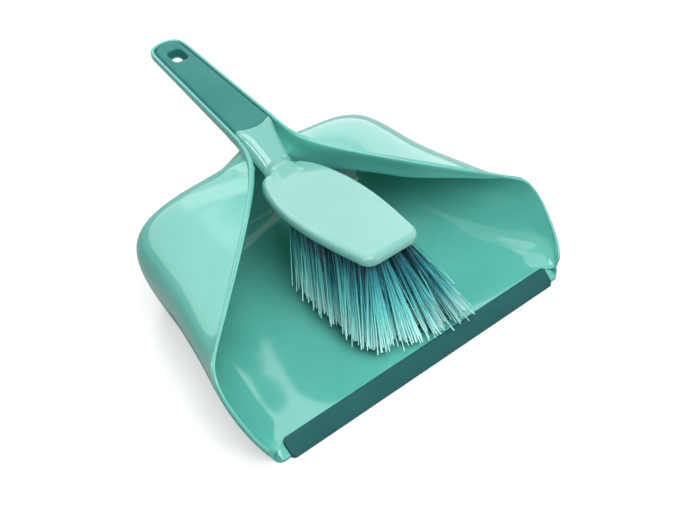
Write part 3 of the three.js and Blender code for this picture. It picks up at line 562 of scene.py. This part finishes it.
def floor_cove(inner):
    """The wide round between the floor and the inside of the walls."""
    start = int(COVE_START * HOOD_STEPS)
    wall = both_halves(inner)[start:-start]
    foot = wall[:, 0].copy()
    up = unit(wall[:, 4] - wall[:, 0])
    behind_edge = LIP_SEAT_Y + FLOOR_EDGE
    level = floor_height(np.maximum(foot[:, 1], behind_edge))[:, None]
    corner = foot + up * (level / np.maximum(up[:, 2:3], 0.3))
    along = unit(np.gradient(foot, axis=0))
    inward = np.cross(np.array([0, 0, 1.0]), along)
    order = np.arange(len(wall))
    size = COVE * smooth(np.minimum(order, order[::-1]), -6, COVE_GROWTH)[:, None]
    on_floor = corner + inward * size
    on_floor[:, 2] = floor_height(np.maximum(on_floor[:, 1], behind_edge)) - 0.02
    on_wall = corner + up * size
    pulls = lerp(on_floor, corner, 0.66), lerp(on_wall, corner, 0.66)
    ring = [bezier(on_floor, *pulls, on_wall, t) for t in np.linspace(0, 1, 10)]
    out, down = inward * COVE_BURIED, np.array([0, 0, COVE_BURIED])
    ring.append(on_wall - out)
    ring.append(corner - out - down)
    ring.append(on_floor - down)
    return loft("cove", np.stack(ring, axis=1))


def pan_moulding():
    right = hood_sections()
    sections = both_halves(right)
    inner = inner_face(sections, WALL)
    half = len(right)
    pan = wall_between("pan_moulding", sections, inner)
    combine(pan, rim_bead(right, inner[:half]), "UNION")
    combine(pan, handle_channel(), "UNION")
    combine(pan, pan_floor(right[:, 0]), "UNION")
    for sign in (-1, 1):
        combine(pan, front_corner(sign), "UNION")
        combine(pan, corner_round(sign), "DIFFERENCE")
    combine(pan, floor_cove(inner[:half]), "UNION")
    floor_above = -CHANNEL_FLOOR + 0.9 * (HANDLE_THICKNESS - HANDLE_END_THICKNESS)
    combine(pan, hang_hole(PAN_HOLE_MARGIN, floor_above, 0.5), "DIFFERENCE")
    shade(pan, 32)
    return pan


def lip_strip():
    half = LIP_LENGTH / 2
    x = np.concatenate([-half + LIP_CORNER * (1 - np.cos(np.linspace(0, math.pi / 2, 9))),
                        np.linspace(-half + LIP_CORNER + 2, half - LIP_CORNER - 2, 90),
                        half - LIP_CORNER * (1 - np.cos(np.linspace(math.pi / 2, 0, 9)))])
    near = np.clip(np.abs(x) - (half - LIP_CORNER), 0, LIP_CORNER)
    cut = LIP_CORNER - np.sqrt(np.maximum(LIP_CORNER**2 - near**2, 0.04))
    profile = [(LIP_DEPTH, 0.1), (LIP_DEPTH - 0.4, 0)]
    for angle in np.radians(np.linspace(-90, -225, 8)):
        profile.append((LIP_NOSE_RADIUS + LIP_NOSE_RADIUS * math.cos(angle),
                        LIP_NOSE_RADIUS + LIP_NOSE_RADIUS * math.sin(angle)))
    for share in np.linspace(0.08, 1, 12):
        crown = LIP_CROWN * share * (1 - share)
        profile.append((lerp(0.2, LIP_DEPTH - 2, share), lerp(1.0, LIP_HEIGHT - 0.35, share) + crown))
    for angle in np.radians(np.linspace(60, 0, 5)):
        profile.append((LIP_DEPTH - LIP_BACK_ROUND + LIP_BACK_ROUND * math.cos(angle),
                        LIP_HEIGHT - LIP_BACK_DROP + LIP_BACK_ROUND * math.sin(angle)))
    profile = np.array(profile)
    rings = []
    for place, setback in zip(x, cut):
        inside = np.clip(profile[:, 0], setback, LIP_DEPTH - setback)
        spare = np.abs(profile[:, 0] - inside)
        rings.append(vec(place, inside + 0.05 * np.sign(profile[:, 0] - inside) * spare, profile[:, 1]))
    lip = loft("lip_strip", rings)
    shade(lip, 40)
    return lip


# Brush

def block_half(behind):
    behind = np.asarray(behind, float)
    rest = BLOCK_CORNER - np.clip(behind, 0, BLOCK_CORNER)
    front = BLOCK_FRONT_HALF - BLOCK_CORNER + np.sqrt(BLOCK_CORNER**2 - rest**2)
    share = np.clip((behind - BLOCK_CORNER) / (BLOCK_WIDEST - BLOCK_CORNER), 0, 1)
    middle = lerp(BLOCK_FRONT_HALF, BLOCK_MAX_HALF, np.sin(share * math.pi / 2))
    share = np.clip((behind - BLOCK_WIDEST) / (BLOCK_LENGTH - BLOCK_WIDEST), 0, 1)
    rear = lerp(BLOCK_REAR_HALF, BLOCK_MAX_HALF, np.sqrt(1 - share**2))
    return np.where(behind < BLOCK_CORNER, front, np.where(behind < BLOCK_WIDEST, middle, rear))


def neck_at(y):
    """Top height, half width and thickness of the neck at a distance back, and its share of the climb."""
    foot = np.array([BLOCK_REAR_Y - NECK_FOOT_BURIED, BLOCK_TOP - NECK_FOOT_SUNK])
    before = on_handle(0, -NECK_ROOT_REACH, 0)[1:]
    share = np.linspace(0, 1, 200)
    after, root = foot + np.array([NECK_FOOT_REACH, 0]), np.array([ROOT_Y, ROOT_Z])
    climb = bezier(foot, after, before, root, share[:, None])
    at = np.interp(y, climb[:, 0], share)
    top = np.interp(y, climb[:, 0], climb[:, 1])
    half = lerp(NECK_FOOT_HALF, HANDLE_ROOT_HALF, smooth(at, 0.2, 1))
    thickness = lerp(NECK_FOOT_THICKNESS, HANDLE_THICKNESS, smooth(at, 0.4, 1))
    return top, half, thickness, at


# Places across a ring from -1 to 1, closer together towards its edges
ACROSS = np.linspace(-1, 1, 61)
ACROSS = 0.5 * ACROSS + 0.5 * np.sin(ACROSS * math.pi / 2)


def block_rings():
    """Rings from the block's front to the root of the handle, block and neck running into each other."""
    front = BLOCK_EDGE * (1 - np.cos(np.linspace(0.06, math.pi / 2, 9)))
    middle = np.linspace(5.2, 100, 60)
    rear = np.linspace(101, ROOT_Y - BLOCK_FRONT_Y, 75)[:-1]
    rings = []
    for behind in np.concatenate([front, middle, rear]):
        y = BLOCK_FRONT_Y + behind
        top, neck_half, thickness, at = (float(v) for v in neck_at(y))
        rest = max(BLOCK_EDGE - behind, 0)
        drop = BLOCK_EDGE - math.sqrt(BLOCK_EDGE**2 - rest**2)
        edge = max(BLOCK_EDGE - drop, BLOCK_UNDER_EDGE * 0.4)
        has_neck = y > BLOCK_REAR_Y - NECK_FOOT_BURIED
        has_block = behind < BLOCK_LENGTH
        block = float(block_half(behind)) if has_block else 0.0
        if has_neck and has_block:
            half = float(soft_max(block, neck_half, 3))
        else:
            half = neck_half if has_neck else block
        x = half * ACROSS
        away = np.abs(x)
        fade = 2.2 * max(y - BLOCK_REAR_Y + 3, 0) ** 1.2
        block_side = max(block, 1) if has_neck else half
        over_block = BLOCK_TOP - drop - rounding(away, block_side, edge, 3) - fade
        neck_edge = lerp(HANDLE_EDGE, 9, float(smooth(at, 1, 0.75)))
        over_neck = top - rounding(away, neck_half, neck_edge, 2.2)
        swell = max(top - BLOCK_TOP, 0) * (1 - smooth(away, neck_half - 7, neck_half + 6))
        onto_neck = float(smooth(y, BLOCK_REAR_Y - 9, BLOCK_REAR_Y + 2))
        upper = over_block
        if has_neck:
            upper = lerp(over_block + swell, soft_max(over_block, over_neck, 8), onto_neck)
        settle = float(smooth(y, BLOCK_REAR_Y - 10, BLOCK_REAR_Y + 14))
        under_edge = lerp(BLOCK_UNDER_EDGE, min(HANDLE_UNDER_EDGE, thickness - HANDLE_EDGE - 0.4), settle)
        base = lerp(BLOCK_BASE, top - thickness, settle) + min(drop, BLOCK_EDGE) * 0.5
        lower = base + rounding(away, half, min(under_edge, half - 0.5), 0)
        lower = np.minimum(lower, upper - 0.25)
        tilt = TILT * float(smooth(at, 0, 1)) * settle
        ring = np.concatenate([np.stack([x, upper], axis=1), np.stack([x, lower], axis=1)[::-1]])
        if has_neck:
            below = ring[:, 1] - top
            rings.append(vec(ring[:, 0], y - below * math.sin(tilt), top + below * math.cos(tilt)))
        else:
            rings.append(vec(ring[:, 0], y, ring[:, 1]))
    return rings


def handle_body_rings():
    half, along = handle_places(0, 16)
    straight = HANDLE_LENGTH - HANDLE_END_ROUND
    rings = []
    for h, a in zip(half, along):
        h = max(h, 0.6)
        share = min(a / straight, 1)
        thickness = HANDLE_THICKNESS - share * (HANDLE_THICKNESS - HANDLE_END_THICKNESS)
        near_end = max(3 - (HANDLE_LENGTH - a), 0)
        drop = 3 - math.sqrt(9 - near_end**2)
        under = min(lerp(HANDLE_UNDER_EDGE, HANDLE_END_UNDER_EDGE, share), h)
        x = h * ACROSS
        crown = 0.7 * float(smooth(a, 0, 12)) * ACROSS**2
        upper = -crown - drop * 0.8 - rounding(np.abs(x), h, min(HANDLE_EDGE, h), 0) * (1 - drop / 3 * 0.6)
        lower = -thickness + drop + rounding(np.abs(x), h, under, 0)
        lower = np.minimum(lower, upper - 0.2)
        rings.append(np.concatenate([on_handle(x, a, upper), on_handle(x, a, lower)[::-1]]))
    return rings


def grip_region(margin):
    across = np.linspace(-2 * HANDLE_ROOT_HALF, 2 * HANDLE_ROOT_HALF, 61)
    front = GRIP_FRONT + GRIP_SWEEP * np.minimum(np.abs(across) / HANDLE_ROOT_HALF, 1) ** 2 - margin
    rear = np.full(len(across), HANDLE_LENGTH + HANDLE_END_ROUND)
    low, high = -GRIP_THICKNESS - margin, HANDLE_THICKNESS
    lower = np.stack([on_handle(across, front, low), on_handle(across, rear, low)], axis=1)
    upper = np.stack([on_handle(across, front, high), on_handle(across, rear, high)], axis=1)
    return wall_between("grip_region", upper, lower)


def rubber_sleeve_and_hole_shade():
    """The sleeve of dark grip rubber through the hang hole, before the hole is cut; its darkness partly
    paints the shade deep in the hole.
    """
    middle = HANDLE_LENGTH - HOLE_FROM_END
    square = rounded_square(HOLE_SIZE / 2 + SHADE_SLEEVE, HOLE_CORNER + SHADE_SLEEVE)
    return loft("sleeve_and_hole_shade", [on_handle(square[:, 0], middle + square[:, 1], level)
                           for level in (SHADE_SLEEVE_TOP, SHADE_SLEEVE_BOTTOM)])


def brush_and_grip():
    brush = loft("brush_moulding", block_rings() + handle_body_rings())
    grip = copy_of(brush, "grip_skin")
    combine(grip, grip_region(0), "INTERSECT")
    combine(grip, rubber_sleeve_and_hole_shade(), "UNION")
    combine(grip, hang_hole(0, 0), "DIFFERENCE")
    combine(brush, grip_region(SEAT_GAP), "DIFFERENCE")
    combine(brush, hang_hole(SHADE_SLEEVE + 0.05, 0, 0.01), "DIFFERENCE")
    for piece, width in ((grip, 0.45), (brush, 0.35)):
        edge = piece.modifiers.new("edge", "BEVEL")
        edge.width = width * MM
        edge.segments = 2
        edge.limit_method = "ANGLE"
        edge.angle_limit = math.radians(55)
        shade(piece, 38)
    return brush, grip


# Bristles

def backing_edge(slice_number):
    return lerp(BACKING_MARGIN, BLOCK_LENGTH - BACKING_REAR_MARGIN, slice_number / BACKING_SLICES)


def tuft_places(slice_number):
    low, high = backing_edge(slice_number), backing_edge(slice_number + 1)
    pitch = (high - low) / TUFT_ROWS
    for row in range(TUFT_ROWS):
        behind = low + (row + 0.5) * pitch
        usable = float(block_half(behind)) - BACKING_MARGIN
        for column in range(TUFT_COLUMNS):
            yield (2 * (column + 0.5) / TUFT_COLUMNS - 1) * usable, behind


STRANDS = 95
STRAND_RINGS, STRAND_SIDES = 8, 3
STRAND_ROOT, STRAND_TIP = 0.5, 0.46
STRAND_STRAY, STRAND_BOW = 0.05, 0.06
TRIM_SPREAD, TRIM_MOST = 1.6, 6
CRIMP, CRIMP_ACROSS, CRIMP_ALONG = 0.3, 19, 17
CORNER_EASE = 0.42
# Turns the strands' normals up and to the front, for the light that clear filament carries along
STRAND_CATCH = 0.9 * np.array([-0.15, -0.55, 0.8])


def tuft_strands(x, behind):
    """Middle lines of a tuft's strands, crimped a little and strayed, from inside the block to the tips."""
    first, last = backing_edge(0), backing_edge(BACKING_SLICES)
    turn = RNG.uniform(0, 2 * math.pi, STRANDS)
    spread = np.sqrt(RNG.uniform(0, 1, STRANDS))
    root_x = x + TUFT_ACROSS * spread * np.cos(turn)
    root_y = behind + TUFT_ALONG * spread * np.sin(turn)
    share = (root_y - first) / (last - first)
    corner = smooth(-root_x, -2, 24) * smooth(share, 0.5, 0)
    lean = lerp(FRONT_LEAN, REAR_LEAN, share) * (1 - CORNER_EASE * corner)
    forward = lean + RNG.normal(0, STRAND_STRAY, STRANDS)
    splay = lerp(FRONT_SPLAY, REAR_SPLAY, share) * root_x / BLOCK_MAX_HALF
    side = splay + lerp(FRONT_SWAY, REAR_SWAY, share) + RNG.normal(0, STRAND_STRAY, STRANDS)
    trimmed = np.clip(np.abs(RNG.normal(0, TRIM_SPREAD, STRANDS)), 0, TRIM_MOST)
    length = (BRISTLE_LENGTH - trimmed)[:, None]
    s = np.linspace(-0.03, 1, STRAND_RINGS)[None, :]
    bend = s + RNG.normal(0, STRAND_BOW, (STRANDS, 1)) * s * (s - 1)
    phase = RNG.uniform(0, 2 * math.pi, (STRANDS, 1))
    wave = CRIMP * np.clip(s * 4, 0, 1)
    px = root_x[:, None] + np.tan(side)[:, None] * length * bend + wave * np.sin(CRIMP_ACROSS * s + phase)
    py = root_y[:, None] - np.tan(forward)[:, None] * length * bend + wave * np.cos(CRIMP_ALONG * s + phase)
    pz = BLOCK_BASE - s * length
    return vec(px, BLOCK_FRONT_Y + py, pz)


def strand_faces(count):
    """Faces of a number of strands whose points run side by side, ring by ring and strand by strand."""
    first = np.arange(count)[:, None, None] * STRAND_RINGS * STRAND_SIDES
    near = first + np.arange(STRAND_RINGS - 1)[None, :, None] * STRAND_SIDES
    far = near + STRAND_SIDES
    side = np.arange(STRAND_SIDES)
    following = (side + 1) % STRAND_SIDES
    quads = np.stack([near + side, far + side, far + following, near + following], axis=-1)
    root = first[:, 0] + side
    tip = first[:, 0] + (STRAND_RINGS - 1) * STRAND_SIDES + side[::-1]
    return [*quads.reshape(-1, 4).tolist(), *root.tolist(), *tip.tolist()]


def bristle_piece(slice_number):
    """The tufts of one slice of backing, with a place along the strand and a tone at each point, whose dark
    values paint the shade between strands.
    """
    tufts = [tuft_strands(x, behind) for x, behind in tuft_places(slice_number)]
    lines = np.concatenate(tufts)
    count = len(lines)
    taper = np.linspace(STRAND_ROOT, STRAND_TIP, STRAND_RINGS)[None, :, None]
    radius = taper * RNG.uniform(0.85, 1.2, (count, 1, 1))
    start = RNG.uniform(0, 2 * math.pi, (count, 1))
    corners, facing = [], []
    for k in range(STRAND_SIDES):
        angle = start + 2 * math.pi * k / STRAND_SIDES
        offset = vec(np.cos(angle), np.sin(angle), 0 * angle)
        corners.append(lines + radius * offset)
        facing.append(np.broadcast_to(unit(offset + STRAND_CATCH), lines.shape))
    points = np.stack(corners, axis=2).reshape(-1, 3)
    piece = add_mesh(f"bristle_tufts_{slice_number + 1}", points, strand_faces(count))
    along = np.repeat(np.tile(np.linspace(0, 1, STRAND_RINGS), count), STRAND_SIDES)
    # A random tone for each tuft and strand, its dark values painted shade in the gaps between strands
    of_tuft = np.repeat(RNG.uniform(0.15, 0.85, len(tufts)), STRANDS)
    of_strand = np.clip(of_tuft + RNG.normal(0, 0.28, count), 0, 1)
    tone_and_gap_shade = np.repeat(of_strand, STRAND_RINGS * STRAND_SIDES)
    for label, values in (("along", along), ("tone_and_gap_shade", tone_and_gap_shade)):
        layer = piece.data.attributes.new(label, "FLOAT", "POINT")
        layer.data.foreach_set("value", values.astype(np.float32))
    piece.data.shade_smooth()
    piece.data.normals_split_custom_set_from_vertices(np.stack(facing, axis=2).reshape(-1, 3).tolist())
    return piece


# Materials

class Surface:
    """A node material built up from one Principled shader."""

    def __init__(self, name):
        self.material = bpy.data.materials.new(name)
        self.material.use_nodes = True
        self.tree = self.material.node_tree
        self.shader = self.tree.nodes["Principled BSDF"]
        self.where = self.add("ShaderNodeTexCoord").outputs["Object"]

    def add(self, kind, **settings):
        node = self.tree.nodes.new(kind)
        for key, value in settings.items():
            setattr(node, key, value)
        return node

    def link(self, source, target):
        self.tree.links.new(source, target)

    def noise(self, scale, detail=3, rough=0.5, stretch=None):
        node = self.add("ShaderNodeTexNoise")
        node.inputs["Scale"].default_value = scale
        node.inputs["Detail"].default_value = detail
        node.inputs["Roughness"].default_value = rough
        where = self.where
        if stretch:
            mapping = self.add("ShaderNodeMapping")
            mapping.inputs["Scale"].default_value = stretch
            self.link(where, mapping.inputs["Vector"])
            where = mapping.outputs["Vector"]
        self.link(where, node.inputs["Vector"])
        return node.outputs["Fac"]

    def ramp(self, source, *stops):
        node = self.add("ShaderNodeValToRGB")
        points = node.color_ramp.elements
        while len(points) < len(stops):
            points.new(0.5)
        for point, (place, colour) in zip(points, stops):
            point.position = place
            point.color = (*colour, 1)
        self.link(source, node.inputs["Fac"])
        return node.outputs["Color"]

    def between(self, source, low, high, source_low=0.3, source_high=0.7):
        node = self.add("ShaderNodeMapRange")
        node.inputs["From Min"].default_value = source_low
        node.inputs["From Max"].default_value = source_high
        node.inputs["To Min"].default_value = low
        node.inputs["To Max"].default_value = high
        self.link(source, node.inputs["Value"])
        return node.outputs["Result"]

    def mix(self, share, a, b, kind="MIX"):
        node = self.add("ShaderNodeMix", data_type="RGBA", blend_type=kind)
        for source, place in ((share, 0), (a, 6), (b, 7)):
            if hasattr(source, "is_linked"):
                self.link(source, node.inputs[place])
            else:
                node.inputs[place].default_value = source
        return node.outputs[2]

    def bump(self, *layers):
        normal = None
        for source, strength, distance in layers:
            node = self.add("ShaderNodeBump")
            node.inputs["Strength"].default_value = strength
            node.inputs["Distance"].default_value = distance
            self.link(source, node.inputs["Height"])
            if normal:
                self.link(normal, node.inputs["Normal"])
            normal = node.outputs["Normal"]
        self.link(normal, self.shader.inputs["Normal"])

    def set(self, **values):
        for key, value in values.items():
            self.shader.inputs[key.replace("_", " ")].default_value = value


def srgb(*levels):
    """A linear colour from levels of 0 to 255."""
    shares = (level / 255 for level in levels)
    return tuple(c / 12.92 if c <= 0.04045 else ((c + 0.055) / 1.055) ** 2.4 for c in shares)


def moulded_plastic(name, low, middle, high, gloss):
    """Glossy plastic whose roughness lies about gloss, in three close colours."""
    surface = Surface(name)
    cloud = surface.noise(14, 4, 0.55)
    colour = surface.ramp(cloud, (0.32, low), (0.5, middle), (0.68, high))
    surface.link(colour, surface.shader.inputs["Base Color"])
    smear = surface.noise(55, 5, 0.6, (1, 0.35, 1))
    surface.link(surface.between(smear, gloss - 0.035, gloss + 0.05), surface.shader.inputs["Roughness"])
    surface.bump((surface.noise(1500, 2), 0.05, 0.0002), (surface.noise(42, 2), 0.05, 0.001))
    surface.set(IOR=1.52)
    return surface.material


def soft_rubber(name, low, high, rough, grain):
    surface = Surface(name)
    colour = surface.ramp(surface.noise(30, 5, 0.6), (0.3, low), (0.7, high))
    surface.link(colour, surface.shader.inputs["Base Color"])
    wear = surface.between(surface.noise(90, 4), rough - 0.06, rough + 0.06)
    surface.link(wear, surface.shader.inputs["Roughness"])
    surface.bump((surface.noise(2600, 3, 0.6), grain, 0.00025), (surface.noise(60, 2), 0.06, 0.0008))
    surface.set(Specular_IOR_Level=0.22)
    return surface.material


# Colours along a strand from its root, dark at the root as painted shade under the block and pale to the tip
# partly as flagged tips and partly as painted light, and the tones that set strand from strand, partly random
# and with the darkest as painted shade between strands
SHADED_ROOT_TO_LIT_TIP = ((0.0, srgb(6, 56, 74)), (0.3, srgb(54, 152, 160)), (0.65, srgb(122, 222, 217)),
                (1.0, srgb(200, 254, 248)))
STRAND_TONES_AND_GAP_SHADE = ((0.0, (0.02, 0.17, 0.24)), (0.32, (0.16, 0.44, 0.52)), (0.52, (0.9, 0.97, 0.98)),
                (1.0, (1, 1, 1)))


def filament(name):
    surface = Surface(name)
    along = surface.add("ShaderNodeAttribute", attribute_name="along").outputs["Fac"]
    tone_and_gap_shade = surface.add("ShaderNodeAttribute", attribute_name="tone_and_gap_shade").outputs["Fac"]
    # Painted shade at the root and painted light at the tip; the strand tones, with their painted shade,
    # multiply in less towards the tip
    body = surface.ramp(along, *SHADED_ROOT_TO_LIT_TIP)
    strand = surface.ramp(tone_and_gap_shade, *STRAND_TONES_AND_GAP_SHADE)
    colour = surface.mix(surface.between(along, 1.0, 0.3, 0.5, 1.0), body, strand, "MULTIPLY")
    surface.link(colour, surface.shader.inputs["Base Color"])
    surface.link(surface.between(surface.noise(700, 2), 0.3, 0.5), surface.shader.inputs["Roughness"])
    surface.set(Specular_IOR_Level=0.25)
    return surface.material


def anchor_steel(name):
    surface = Surface(name)
    colour = surface.ramp(surface.noise(400, 4), (0.3, (0.42, 0.43, 0.44)), (0.7, (0.58, 0.59, 0.6)))
    surface.link(colour, surface.shader.inputs["Base Color"])
    drawn = surface.between(surface.noise(1200, 3, 0.6, (1, 12, 1)), 0.28, 0.45)
    surface.link(drawn, surface.shader.inputs["Roughness"])
    surface.bump((surface.noise(3000, 2, 0.5, (1, 14, 1)), 0.1, 0.00005))
    surface.set(Metallic=1.0)
    return surface.material


PAN_COLOURS = srgb(86, 178, 164), srgb(92, 183, 169), srgb(98, 188, 175)
BRUSH_COLOURS = srgb(119, 185, 174), srgb(125, 190, 179), srgb(131, 195, 185)
PAN_PLASTIC = moulded_plastic("pan_plastic", *PAN_COLOURS, gloss=0.1)
BRUSH_PLASTIC = moulded_plastic("brush_plastic", *BRUSH_COLOURS, gloss=0.12)
LIP_RUBBER = soft_rubber("lip_rubber", srgb(12, 76, 78), srgb(18, 86, 87), rough=0.55, grain=0.25)
GRIP_RUBBER = soft_rubber("grip_rubber", srgb(36, 117, 113), srgb(44, 127, 122), rough=0.5, grain=0.2)
FILAMENT = filament("bristle_filament")
STEEL = anchor_steel("anchor_wire")


def dress(piece, material, body, slot, *nodes):
    piece.data.materials.clear()
    piece.data.materials.append(material)
    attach(piece, body)
    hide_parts(*nodes)


# The set

dress(pan_moulding(), PAN_PLASTIC, "dustpan", "pan_plastic", "pan_shell", "pan_floor", "pan_handle")
dress(lip_strip(), LIP_RUBBER, "dustpan", "lip_rubber", "rubber_lip")
brush, grip = brush_and_grip()
dress(brush, BRUSH_PLASTIC, "hand_brush", "brush_plastic", "brush_body")
dress(grip, GRIP_RUBBER, "hand_brush", "grip_rubber", "soft_grip")
for number in range(BACKING_SLICES):
    dress(bristle_piece(number), FILAMENT, "hand_brush", "bristle_filament", f"bristle_rows_{number + 1}")
for name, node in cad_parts.items():
    if name.startswith("tuft_anchor"):
        node.data.materials.clear()
        node.data.materials.append(STEEL)


# Studio

FLOOR_REACH, FLOOR_BELOW = 6.0, 0.0003
FLOOR_GREY, FLOOR_LIFT = 0.42, 0.55
WORLD_LIGHT, WORLD_SEEN = 0.42, 1.0
AIM_HEIGHT = 0.06

# Name, azimuth and elevation in degrees, distance, width and height in metres, power in watts
SOFT_BOXES = (
    ("key", 257, 57, 1.5, 1.0, 1.0, 18),
    ("top", 60, 80, 1.5, 1.0, 1.0, 5),
)
REFLECTORS = (
    ("sheen", 54, 42, 1.7, 1.6, 1.1, 10),
    ("left_sheen", 112, 42, 1.7, 1.7, 1.3, 17),
    ("right_sheen", 45, 11, 1.7, 1.2, 0.6, 4),
    ("left_card", 204, 33, 1.5, 0.4, 0.4, 5),
    ("right_card", 338, 18, 1.5, 0.35, 0.35, 3.5),
)

# The camera fitted to the photo, its place measured from the lip's front edge
SENSOR_WIDTH, LENS = 36, 65.49
CAMERA_RIGHT, CAMERA_UP = (0.7373, -0.6756, 0), (0.4343, 0.4739, 0.766)
CAMERA_FORWARD = (0.5175, 0.5648, -0.6428)
CAMERA_PLACE = (-0.4803, -0.4365, 0.6382)


def standing(right, up, back, place):
    """A matrix from an object's three axes and its place."""
    axes = np.eye(4)
    axes[:3, 0], axes[:3, 1], axes[:3, 2], axes[:3, 3] = right, up, back, place
    return Matrix(axes.tolist())


def studio_floor():
    mesh = bpy.data.meshes.new("studio_floor")
    corners = [(x * FLOOR_REACH, y * FLOOR_REACH, 0) for x, y in ((-1, -1), (1, -1), (1, 1), (-1, 1))]
    mesh.from_pydata(corners, [], [(0, 1, 2, 3)])
    floor = bpy.data.objects.new("studio_floor", mesh)
    bpy.context.scene.collection.objects.link(floor)
    floor.location.z = -FLOOR_BELOW
    material = bpy.data.materials.new("studio_white")
    material.use_nodes = True
    tree = material.node_tree
    shader = tree.nodes["Principled BSDF"]
    shader.inputs["Base Color"].default_value = (FLOOR_GREY, FLOOR_GREY, FLOOR_GREY, 1)
    shader.inputs["Roughness"].default_value = 0.35
    shader.inputs["Emission Color"].default_value = (1, 1, 1, 1)
    rays = tree.nodes.new("ShaderNodeLightPath")
    lift = tree.nodes.new("ShaderNodeMath")
    lift.operation = "MULTIPLY"
    lift.inputs[1].default_value = FLOOR_LIFT
    tree.links.new(rays.outputs["Is Camera Ray"], lift.inputs[0])
    tree.links.new(lift.outputs[0], shader.inputs["Emission Strength"])
    mesh.materials.append(material)


def studio_world():
    world = bpy.data.worlds.new("studio")
    bpy.context.scene.world = world
    world.use_nodes = True
    tree = world.node_tree
    background = tree.nodes["Background"]
    background.inputs["Color"].default_value = (1, 1, 1, 1)
    rays = tree.nodes.new("ShaderNodeLightPath")
    seen = tree.nodes.new("ShaderNodeMath")
    seen.operation = "MAXIMUM"
    tree.links.new(rays.outputs["Is Camera Ray"], seen.inputs[0])
    tree.links.new(rays.outputs["Is Glossy Ray"], seen.inputs[1])
    also = tree.nodes.new("ShaderNodeMath")
    also.operation = "MAXIMUM"
    tree.links.new(seen.outputs[0], also.inputs[0])
    tree.links.new(rays.outputs["Is Transmission Ray"], also.inputs[1])
    level = tree.nodes.new("ShaderNodeMapRange")
    level.inputs["To Min"].default_value = WORLD_LIGHT
    level.inputs["To Max"].default_value = WORLD_SEEN
    tree.links.new(also.outputs[0], level.inputs["Value"])
    tree.links.new(level.outputs["Result"], background.inputs["Strength"])


def soft_box(name, azimuth, elevation, distance, width, height, watts):
    """A soft light aimed at the object. Azimuth is the direction that it stands in, from +X towards +Y."""
    lamp = bpy.data.lights.new(name, "AREA")
    lamp.shape = "RECTANGLE"
    lamp.size, lamp.size_y = width, height
    lamp.energy = watts
    light = bpy.data.objects.new(name, lamp)
    bpy.context.scene.collection.objects.link(light)
    a, e = math.radians(azimuth), math.radians(elevation)
    back = np.array([math.cos(a) * math.cos(e), math.sin(a) * math.cos(e), math.sin(e)])
    right = unit(np.cross([0, 0, 1.0], back))
    place = back * distance + np.array([0, 0, AIM_HEIGHT])
    light.matrix_world = standing(right, np.cross(back, right), back, place)
    return light


def reflector(*place_and_power):
    """A card that shows only in the gloss."""
    soft_box(*place_and_power).visible_diffuse = False


def photo_camera():
    data = bpy.data.cameras.new("camera")
    data.sensor_fit = "HORIZONTAL"
    data.sensor_width = SENSOR_WIDTH
    data.lens = LENS
    data.clip_start = 0.01
    camera = bpy.data.objects.new("camera", data)
    bpy.context.scene.collection.objects.link(camera)
    place = np.array(CAMERA_PLACE) + np.array([0, SHIFT_Y, 0])
    camera.matrix_world = standing(CAMERA_RIGHT, CAMERA_UP, -np.array(CAMERA_FORWARD), place)
    bpy.context.scene.camera = camera


studio_floor()
studio_world()
for box in SOFT_BOXES:
    soft_box(*box)
for card in REFLECTORS:
    reflector(*card)
photo_camera()
bpy.context.scene.view_settings.view_transform = "Standard"
